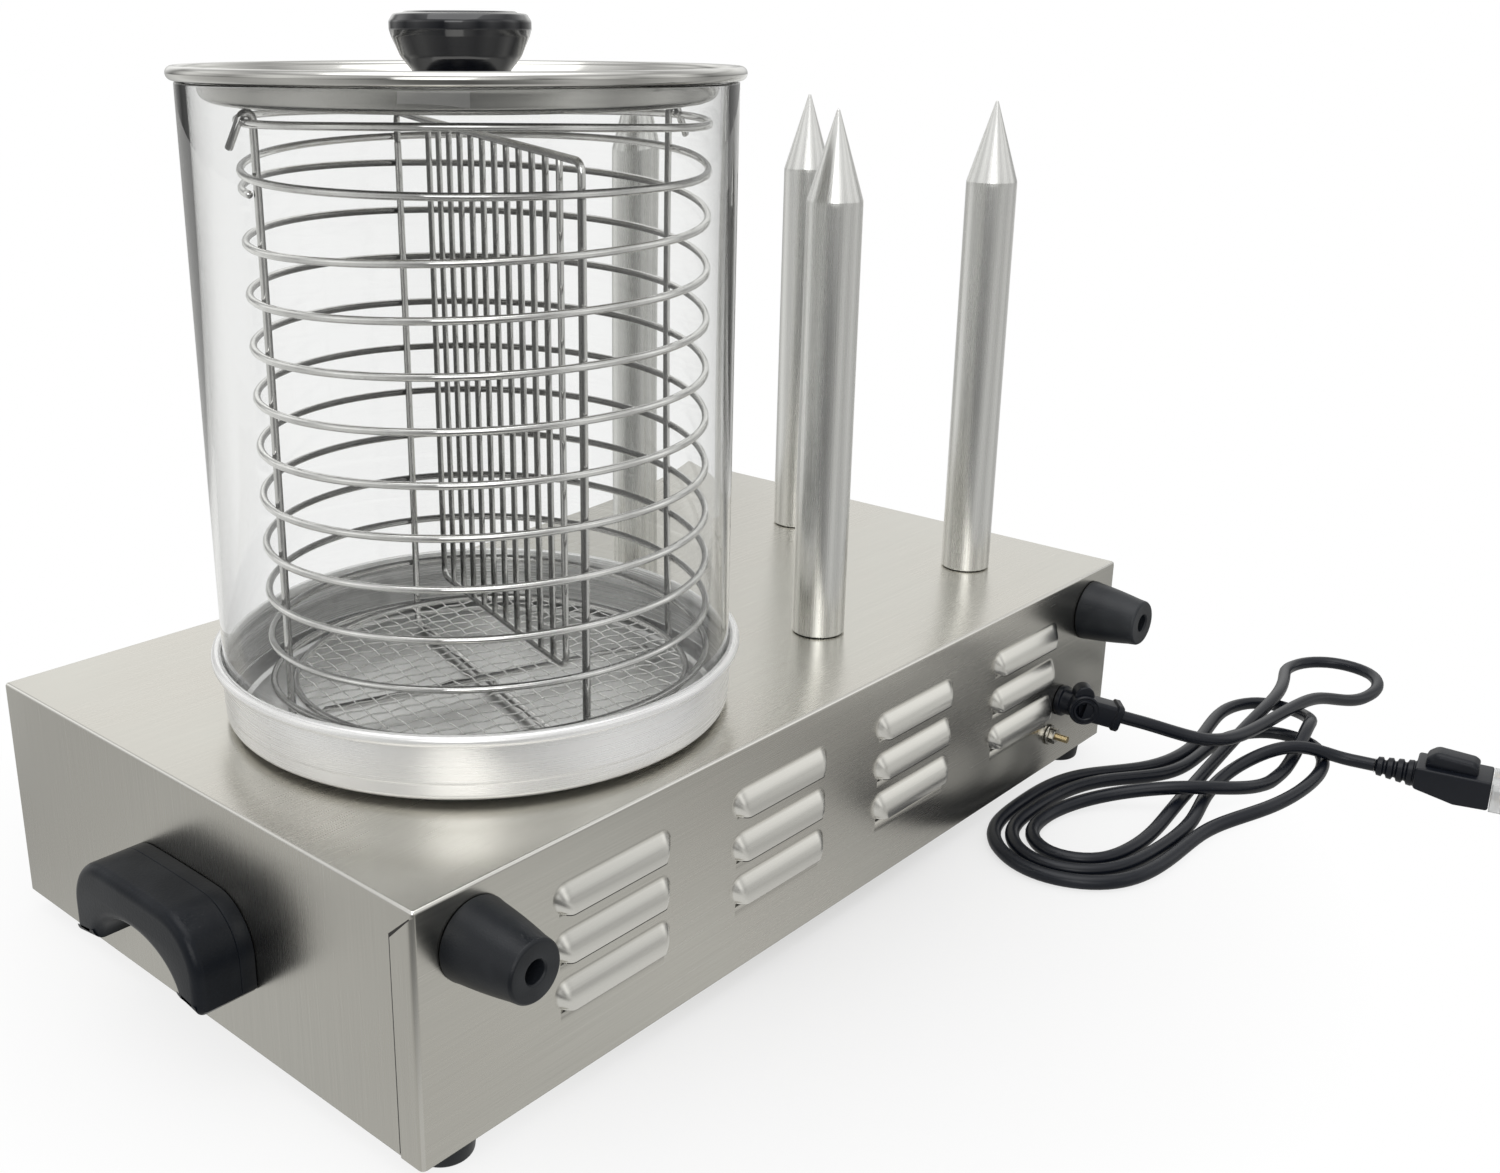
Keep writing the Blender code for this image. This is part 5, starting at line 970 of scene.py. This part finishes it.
def make_switch(i, x):
    """A rocker switch: a bevelled frame round a well, and a dished rocker whose ends stand up."""
    face, tilt = FRONT - SEAT_GAP, math.radians(10)
    outer, inner = plate(0.0105, -0.015, 0.015, 0.0015, 5), plate(0.0068, -0.0110, 0.0110, 0.0006, 5)
    rows = [
        (outer, 0.0), (outer, 0.0013), (outer * (0.985, 0.985), 0.0018), (outer * (0.95, 0.96), 0.0020),
        (inner * (1.04, 1.03), 0.0020), (inner, 0.0017), (inner, -0.0080),
    ]
    points = [[(x + u, face - depth, CONTROL_Z + v) for u, v in q] for q, depth in rows]
    faces = face_grid(len(rows), len(outer), wrap_columns=True)
    made = piece(f"switch_frame_{i}", points, faces, HANDLE_BLACK, "housing", f"switch_body_{i}", weld=1e-7)
    flip_outwards(made, (0, -1, 0))
    sharpen(made, 40)
    across, along = np.meshgrid(np.linspace(-1, 1, 15), np.linspace(-1, 1, 33))
    side, end = np.maximum(np.abs(across) - 0.86, 0) / 0.14, np.maximum(np.abs(along) - 0.93, 0) / 0.07
    rise = 0.0020 + 0.0015 * along**2 - 0.0006 * np.clip(side**2 + end**2, 0, 1)
    cap = np.stack([across * 0.0064, -rise, along * 0.0103], -1)
    skirt = np.concatenate([cap[0], cap[1:, -1], cap[-1, ::-1][1:], cap[::-1, 0][1:-1]])
    wall = np.vstack([skirt, skirt * (1, 0, 1) + (0, 0.0028, 0)])
    p = np.vstack([cap.reshape(-1, 3), wall])
    faces = np.vstack([face_grid(33, 15), face_grid(2, len(skirt), wrap_columns=True) + cap.size // 3])
    c, s = math.cos(tilt), math.sin(tilt)
    turned = np.stack([p[:, 0], p[:, 1] * c - p[:, 2] * s, p[:, 1] * s + p[:, 2] * c], 1)
    points = turned + (x, face - 0.001, CONTROL_Z)
    made = piece(f"rocker_{i}", points, faces, RED, f"rocker_{i}", f"switch_rocker_{i}", weld=1e-6)
    sharpen(made, 40)


# Mains lead
CORD_LEVEL = 0.0037
# The route as given: a point without a level lies on the floor.
CORD_POINTS = (
    (-0.249, 0.201, 0.0258), (-0.297, 0.211, 0.0195), (-0.35, 0.2132, 0.0166), (-0.38, 0.217, 0.013),
    (-0.412, 0.227, 0.0045), (-0.442, 0.23), (-0.464, 0.217), (-0.464, 0.191), (-0.443, 0.1775),
    (-0.413, 0.183, 0.0075), (-0.372, 0.1945, 0.0122), (-0.325, 0.199, 0.0122), (-0.25, 0.202, 0.0045),
    (-0.195, 0.208), (-0.144, 0.21), (-0.1235, 0.2015), (-0.116, 0.1835), (-0.125, 0.1678),
    (-0.1435, 0.1622), (-0.183, 0.1745, 0.0065), (-0.213, 0.208, 0.0124), (-0.242, 0.227, 0.008),
    (-0.287, 0.2325), (-0.337, 0.2262, 0.0125), (-0.3605, 0.218, 0.0068), (-0.3728, 0.203),
    (-0.3705, 0.187), (-0.356, 0.1765), (-0.325, 0.1755), (-0.285, 0.1815), (-0.24, 0.1748),
    (-0.205, 0.153), (-0.15, 0.1449), (-0.112, 0.153), (-0.094, 0.184), (-0.108, 0.2165),
    (-0.15, 0.229), (-0.195, 0.231), (-0.236, 0.243), (-0.285, 0.249), (-0.314, 0.244),
    (-0.3325, 0.229), (-0.3335, 0.2105), (-0.319, 0.196), (-0.285, 0.1895), (-0.24, 0.1858),
    (-0.205, 0.1635), (-0.15, 0.1535), (-0.118, 0.16), (-0.1038, 0.183), (-0.1155, 0.2085),
    (-0.15, 0.22), (-0.195, 0.2203), (-0.24, 0.212), (-0.276, 0.218, 0.01), (-0.299, 0.235, 0.0148),
)
CORD_ROUTE = [(*point, CORD_LEVEL)[:3] for point in CORD_POINTS]
GLAND_TURN, GLAND_DIP, GLAND_ARM, STRAIGHT = math.radians(40), math.radians(15), 0.0205, 0.012
GLAND_MIDDLE = np.array([-0.200, REAR + 0.0130, LOW + 0.0365])
PLUG_TURN, PLUG_LEVEL, PLUG_FACE, RELIEF_LONG = math.radians(12), 0.0085, 0.0373, 0.0203
FORWARD = np.array([-math.sin(PLUG_TURN), math.cos(PLUG_TURN), 0.0])
PLUG_START = np.array([-0.3225, 0.2900, 0.0])
PLUG_ENTRY = PLUG_START + UP * PLUG_LEVEL
RELIEF_START = PLUG_ENTRY - FORWARD * RELIEF_LONG


def gland_arm():
    """The gland's arm points out, towards the near end and a little down."""
    level = math.cos(GLAND_DIP)
    return np.array([-math.sin(GLAND_TURN) * level, math.cos(GLAND_TURN) * level, -math.sin(GLAND_DIP)])


def make_cord():
    """The mains lead on its own curve, from the gland's mouth to the strain relief."""
    arm = gland_arm()
    start = GLAND_MIDDLE + arm * (GLAND_ARM + SEAT_GAP)
    end = RELIEF_START - FORWARD * SEAT_GAP
    inner = [start + arm * STRAIGHT, *CORD_ROUTE, end - FORWARD * STRAIGHT]
    path = curve_through(inner, 0.004, arm, FORWARD)
    path[:, 2] = np.maximum(path[:, 2], CORD_R + 0.00005)
    steps = np.linspace(0, 1, 4)[:-1, None]
    leaving, arriving = start + arm * STRAIGHT * steps, end - FORWARD * STRAIGHT * (1 - steps[1:])
    path = np.vstack([leaving, path, arriving, end])
    curve = bpy.data.curves.new("mains_lead", "CURVE")
    curve.dimensions, curve.bevel_depth, curve.bevel_resolution = "3D", CORD_R, 5
    curve.use_fill_caps = True
    spline = curve.splines.new("POLY")
    spline.points.add(len(path) - 1)
    spline.points.foreach_set("co", np.c_[path, np.ones(len(path))].ravel())
    curve.materials.append(CORD_BLACK)
    lead = linked("mains_lead", curve)
    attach(lead, "housing")
    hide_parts("power_cord")
    return lead, start, float(distances(path)[-1])


def make_relief():
    """The strain relief: a tapered sleeve of soft ribs, each a small ring with a groove behind it."""
    ribs, start_r, widening, groove = 4, 0.0050, 0.0024, 0.0016
    s = np.linspace(0, 1, 121)
    rib = np.clip(np.sin(2 * math.pi * (s * ribs - 0.25)) * 2.2 + 0.9, -1, 1) * 0.5 + 0.5
    radius = start_r + widening * s - groove * (1 - rib) * np.clip((1 - s) * 12, 0, 1)
    inside = np.column_stack([np.linspace(0.00365, 0.0042, 3), np.zeros(3)])
    profile = np.vstack([inside, np.column_stack([radius, s * RELIEF_LONG]), [[0.0, RELIEF_LONG]]])
    return lathe("lead_relief", profile, RELIEF_START, PLUG_BLACK, "plug_relief", 48, FORWARD)


def make_plug():
    """The plug: a keeled body with flat sides, a raised rounded grip, three pins and a clear cover."""
    half, grip_half, cover_half, aside, apart, wide = 0.012, 0.0070, 0.0117, 0.0046, 0.00635, 0.00635
    across = np.cross(FORWARD, UP)
    place = placed(FORWARD, UP, across, PLUG_START)
    body = outline([(0, 4.6, 2), (20.4, 0, 2), (37, 0.8, 1.5), (37, 17, 1.2), (0, 17, 1.5)], 5, True)
    layers = round_edge(0.0011, -half, -1, 5) + round_edge(0.0011, half, 1, 5)
    plug = slab("plug_body", body, layers, place, PLUG_BLACK, "plug", 50)
    grip = [(4.2, 15), (30, 15), (30, 22.2, 1.8), (27.5, 24, 4), (9, 25.4, 5), (4.2, 21.5, 4)]
    grip = outline(grip, 7, True)
    layers = round_edge(0.0032, -grip_half, -1, 6) + round_edge(0.0032, grip_half, 1, 6)
    made = [plug, slab("plug_grip", grip, layers, place, PLUG_BLACK, None, 50)]
    face = PLUG_ENTRY + FORWARD * PLUG_FACE
    blade = plate(wide / 2, -0.0015 / 2, 0.0015 / 2, 0.0003, 3)
    layers = [(0.0, 0.0), (0.0, 0.0155), (0.0004, 0.0169)]
    for name, level in (("live_pin", -apart), ("neutral_pin", apart)):
        pin_place = placed(-across, UP, FORWARD, face - across * aside + UP * level)
        made.append(slab(name + "_blade", blade, layers, pin_place, BRASS, name, 30))
    pin = outline([(0, 0), (2.4, 0), (2.4, 14.6, 1), (1.9, 16.2, 1), (0.9, 16.9, 0.6), (0, 17)], 4)
    at = face - across * (aside - 0.0119)
    made.append(lathe("earth_pin_round", pin, at, BRASS, "earth_pin", 40, FORWARD))
    tip, low, high = PLUG_FACE + 0.02, 0.0003, 0.0167
    outer = [(PLUG_FACE, low), (tip, low), (tip, high), (PLUG_FACE, high)]
    outer = rounded(outer, [0.0, 0.002, 0.002, 0.0], 5, True)
    inner_half = cover_half - 0.0006
    layers = [(0.0006, -cover_half), (0.0, -inner_half), (0.0, inner_half), (0.0006, cover_half)]
    cover = slab("pin_cover_clear", outer, layers, place, CLEAR, "pin_cover", 40)
    with opened(cover.data) as work:
        depths = {f: (np.array(f.calc_center_median()) - PLUG_START) @ FORWARD for f in work.faces}
        near = [f for f, depth in depths.items() if abs(depth - PLUG_FACE) < 1e-5]
        bmesh.ops.delete(work, geom=near, context="FACES")
    shell = cover.modifiers.new("wall", "SOLIDIFY")
    shell.thickness, shell.offset = 0.0007, -1.0
    return [*made, cover]


def make_gland():
    """The gland: a flanged neck, a boss with a ringed recess, a clamp knob and an arm round the lead."""
    arm, side = gland_arm(), (math.cos(GLAND_TURN), math.sin(GLAND_TURN), 0.0)

    def turned(name, points, at, way, node=None, steps=64):
        return lathe(name, outline(points, 5), at, PLUG_BLACK, node, steps, way, 50)

    neck = [
        (0, -6), (6.5, -6, 0.6), (6.5, 0), (8.5, 0.3, 0.4), (8.5, 2.8, 0.6), (7, 3.4, 0.6), (6.5, 12.5, 1),
        (0, 13),
    ]
    on_wall = GLAND_MIDDLE * (1, 0, 1) + (0, REAR, 0)
    boss = [
        (0, -7), (7.8, -7, 0.5), (8.3, -6.4, 0.5), (8.3, 5.8, 0.5), (7.4, 6.8, 0.4), (6.8, 6, 0.2),
        (6.2, 6, 0.2), (5.8, 7, 0.3), (5, 7, 0.4), (4.5, 6.4, 0.3), (4.3, 2, 0.4), (0, 2),
    ]
    knob = [(0, -4.5), (4.6, -4.5, 0.6), (5.2, -3.9, 0.6), (5.2, 3.9, 0.6), (4.6, 4.5, 0.6), (0, 4.5)]
    pieces = [
        turned("gland_neck", neck, on_wall, REARWARDS, "cord_gland"),
        turned("gland_boss", boss, GLAND_MIDDLE, side),
        turned("gland_clamp", knob, GLAND_MIDDLE + UP * 0.0075, side, steps=48),
    ]
    half = 0.00625
    up = UP - arm * arm[2]
    up /= np.linalg.norm(up)
    layers = [
        (0.0, 0.0), (0.0, 0.0166), (-0.0011, 0.0174), (-0.0011, 0.0200), (-0.0005, 0.0206), (0.0024, 0.0206),
        (0.0028, 0.0198),
    ]
    place = placed(np.cross(up, arm), up, arm, GLAND_MIDDLE)
    sleeve = plate(half, -half, half, 0.0020, 6)
    return [*pieces, slab("gland_sleeve", sleeve, layers, place, PLUG_BLACK, None, 50)]


def make_earth_stud():
    """The earth stud: a threaded rod with a washer and a hexagon nut."""
    at, root, pitch, thread = np.array([-0.1905, REAR, LOW + 0.0190]), 0.00175, 0.0007, 0.00025
    h = np.linspace(-0.006, 0.011, 170)
    ridge = np.abs(((h / pitch) % 1) - 0.5) * 2
    rod = np.column_stack([root + thread * ridge, h])
    profile = np.vstack([[0, -0.006], rod, [[0.0014, 0.0110], [0, 0.0110]]])
    lathe("stud_threaded", profile, at, BRASS, "earth_stud", 32, REARWARDS)
    washer = outline([(2.1, 0.3), (5.8, 0.3, 0.3), (5.8, 1.3, 0.3), (2.1, 1.3)], 3)
    lathe("stud_washer", washer, at, NICKEL, None, 48, REARWARDS, 40)
    a, nut_r = np.radians(np.arange(0, 360, 60)), 0.0045
    nut = rounded(nut_r * np.stack([np.cos(a), np.sin(a)], 1), 0.0003, 2, True)
    layers = [(0.0005, 0.0013), (0.0, 0.0017), (0.0, 0.0041), (0.0005, 0.0045)]
    slab("stud_nut", nut, layers, placed((1, 0, 0), -UP, REARWARDS, at), NICKEL, None, 30)


# Assembly
make_housing()
for end in (-1, 1):
    make_lap(end)
make_feet()
make_handles()
make_bumpers()
make_pan()
make_glass()
make_lid()
make_spikes()
make_basket()
make_divider()
make_controls()
make_earth_stud()
gland_pieces = make_gland()
lead, lead_start, lead_length = make_cord()
relief = make_relief()
plug_pieces = make_plug()

# CAD nodes that stay as they are, under a finish of this script.
KEPT = {
    "base_plate": STEEL_ALONG, "pan_gasket": GASKET, "pan_heater": SPUN, "heater_clamp": STEEL_ALONG,
    "clamp_nut": NICKEL, "terminal_block": CREAM, "thermostat_1": CREAM, "thermostat_2": CREAM,
}
for i in range(1, 5):
    KEPT[f"spike_nut_{i}"] = NICKEL
    KEPT[f"spike_heater_{i}"] = NICKEL
for node, material in KEPT.items():
    shape = frame["nodes"][node]
    shape.data.materials.clear()
    shape.data.materials.append(material)


# Floor, light and camera
NEAR_TONES = (
    (0.00, 0.45), (0.12, 0.60), (0.25, 0.50), (0.38, 0.45), (0.453, 0.60), (0.54, 0.58), (0.60, 0.62),
    (0.635, 0.64), (0.69, 0.64), (0.77, 0.52), (0.87, 0.34), (1.00, 0.45),
)
FAR_TONES = (
    (0.00, 0.62), (0.08, 0.95), (0.17, 0.40), (0.26, 0.85), (0.38, 0.50), (0.46, 0.62), (0.52, 0.45),
    (0.575, 0.18), (0.63, 0.13), (0.68, 0.26), (0.74, 0.62), (0.80, 0.40), (0.885, 0.62), (0.94, 0.40),
    (1.00, 0.62),
)
WALL_TONES = (
    (0.00, 0.60), (0.06, 0.95), (0.10, 0.95), (0.122, 0.66), (0.15, 1.00), (0.19, 1.10), (0.23, 0.30),
    (0.28, 1.00), (0.36, 0.40), (0.43, 1.00), (0.50, 0.55), (0.56, 0.20), (0.60, 1.00), (0.66, 1.00),
    (0.72, 0.28), (0.78, 0.95), (0.84, 0.45), (0.90, 1.00), (0.95, 0.30), (1.00, 0.60),
)
BAND_TONES = (
    (0.0, 0.45), (0.10, 0.80), (0.26, 1.0), (0.33, 0.80), (0.42, 1.08), (0.70, 0.50), (0.86, 1.0),
)


def seen_and_mirrored(f):
    """Two masks: rays seen straight or through glass, and rays that a surface has mirrored."""
    path = f.nodes.new("ShaderNodeLightPath")
    depth, camera, through, glossy = (
        Wire(f, path.outputs[name])
        for name in ("Glossy Depth", "Is Camera Ray", "Is Transmission Ray", "Is Glossy Ray")
    )
    mirrored = depth.clamp()
    return (camera + through).clamp() * (1.0 - mirrored), glossy * mirrored


def make_floor():
    """A wide pale floor: it keeps the shadow, looks white, and is graded for what metal mirrors."""
    f, half = Finish("studio_floor", (0.86, 0.86, 0.86), 0.8), 12.0
    seen, glossy = seen_and_mirrored(f)
    where = f.place()
    away = f.node("ShaderNodeVectorMath", {"operation": "LENGTH"}, {0: where}, out="Value")
    x, y, _ = f.split(where)
    turn = y.step("ARCTAN2", y, x) / (2 * math.pi) + 0.5
    far, near = (f.greys(turn, tones, 0.98) for tones in (FAR_TONES, NEAR_TONES))
    graded = f.mix(((away - 0.33) * 9.0).clamp(), near, far)
    plain = f.shine("ShaderNodeEmission", (1, 1, 1, 1), 1.0)
    mirrored = f.shine("ShaderNodeEmission", graded, 1.0)
    share = seen * ((away - 0.25) * 2.0 + 0.78).clamp() + glossy * ((away - 0.18) * 4.0 + 0.70).clamp()
    both = f.choose(share, Wire(f, f.shader.outputs[0]), f.choose(glossy, plain, mirrored))
    f.put(f.nodes["Material Output"].inputs[0], both)
    mesh = bpy.data.meshes.new("studio_floor")
    corners = [(-half, -half, 0), (half, -half, 0), (half, half, 0), (-half, half, 0)]
    mesh.from_pydata(corners, [], [(0, 1, 2, 3)])
    mesh.materials.append(f.material)
    linked("studio_floor", mesh)


def make_world():
    """Soft studio light: plain for shading, white where it is seen, and graded for what metal mirrors."""
    world = bpy.data.worlds.new("studio")
    bpy.context.scene.world = world
    world.use_nodes = True
    world.node_tree.nodes.clear()
    f, white = Tree(world.node_tree), (1, 1, 1, 1)
    x, y, z = f.split(f.node("ShaderNodeTexCoord", out="Generated"))
    turn = y.step("ARCTAN2", y, x) / math.pi
    walls = f.greys(turn * 0.5 + 0.5, WALL_TONES, 0.985)
    bands = f.greys(z, BAND_TONES)
    room = f.mix(((z - 0.30) * 2.0).clamp(), f.mix(1.0, walls, bands, "MULTIPLY"), bands)
    plain, mirrored, bright = (
        f.shine("ShaderNodeBackground", colour, strength)
        for colour, strength in ((white, 0.72), (room, 1.12), (white, 1.0))
    )
    straight, glossy = seen_and_mirrored(f)
    both = f.choose(straight, f.choose(glossy, plain, mirrored), bright)
    f.put(f.nodes.new("ShaderNodeOutputWorld").inputs[0], both)


def make_lamp(name, at, towards, size, power):
    """A square soft lamp at a place, aimed at a point."""
    light = bpy.data.lights.new(name, "AREA")
    light.energy, light.size = power, size
    lamp = linked(name, light)
    lamp.rotation_mode = "QUATERNION"
    lamp.rotation_quaternion = (Vector(at) - Vector(towards)).to_track_quat("Z", "Y")
    lamp.location = at


PHOTO_WIDE, PHOTO_HIGH, SENSOR = 1500, 1173, 36.0
FOCAL_PIXELS, CENTRE_COLUMN, CENTRE_ROW = 1568.6, 647.31, 545.71
CAMERA_ANGLES = (132.425, 18.110, 0.229)
CAMERA_AT = (0.53442, 0.50384, 0.39183)


def make_camera():
    """The photograph's camera, from its azimuth, elevation and roll in degrees, with a small shift."""
    azimuth, elevation, roll = (math.radians(v) for v in CAMERA_ANGLES)
    level = math.cos(elevation)
    back = np.array([math.sin(azimuth) * level, -math.cos(azimuth) * level, math.sin(elevation)])
    right = np.cross(-back, UP)
    right /= np.linalg.norm(right)
    up = np.cross(right, -back)
    c, s = math.cos(roll), math.sin(roll)
    data = bpy.data.cameras.new("camera")
    data.sensor_width, data.sensor_fit = SENSOR, "HORIZONTAL"
    data.lens = FOCAL_PIXELS / PHOTO_WIDE * SENSOR
    data.shift_x = (PHOTO_WIDE / 2 - CENTRE_COLUMN) / PHOTO_WIDE
    data.shift_y = (CENTRE_ROW - PHOTO_HIGH / 2) / PHOTO_WIDE
    data.clip_start, data.clip_end = 0.02, 60.0
    camera = linked("camera", data)
    turned = placed(c * right + s * up, c * up - s * right, back, CAMERA_AT)
    camera.matrix_world = Matrix(turned.tolist())
    bpy.context.scene.camera = camera


make_floor()
make_world()
make_lamp("overhead", (0.3, 0.1, 1.9), (0, 0, 0.1), 1.6, 9.0)
make_lamp("side", (1.6, 1.2, 1.0), (0, 0, 0.15), 1.0, 5.0)
make_camera()
bpy.context.scene.view_settings.view_transform = "Standard"
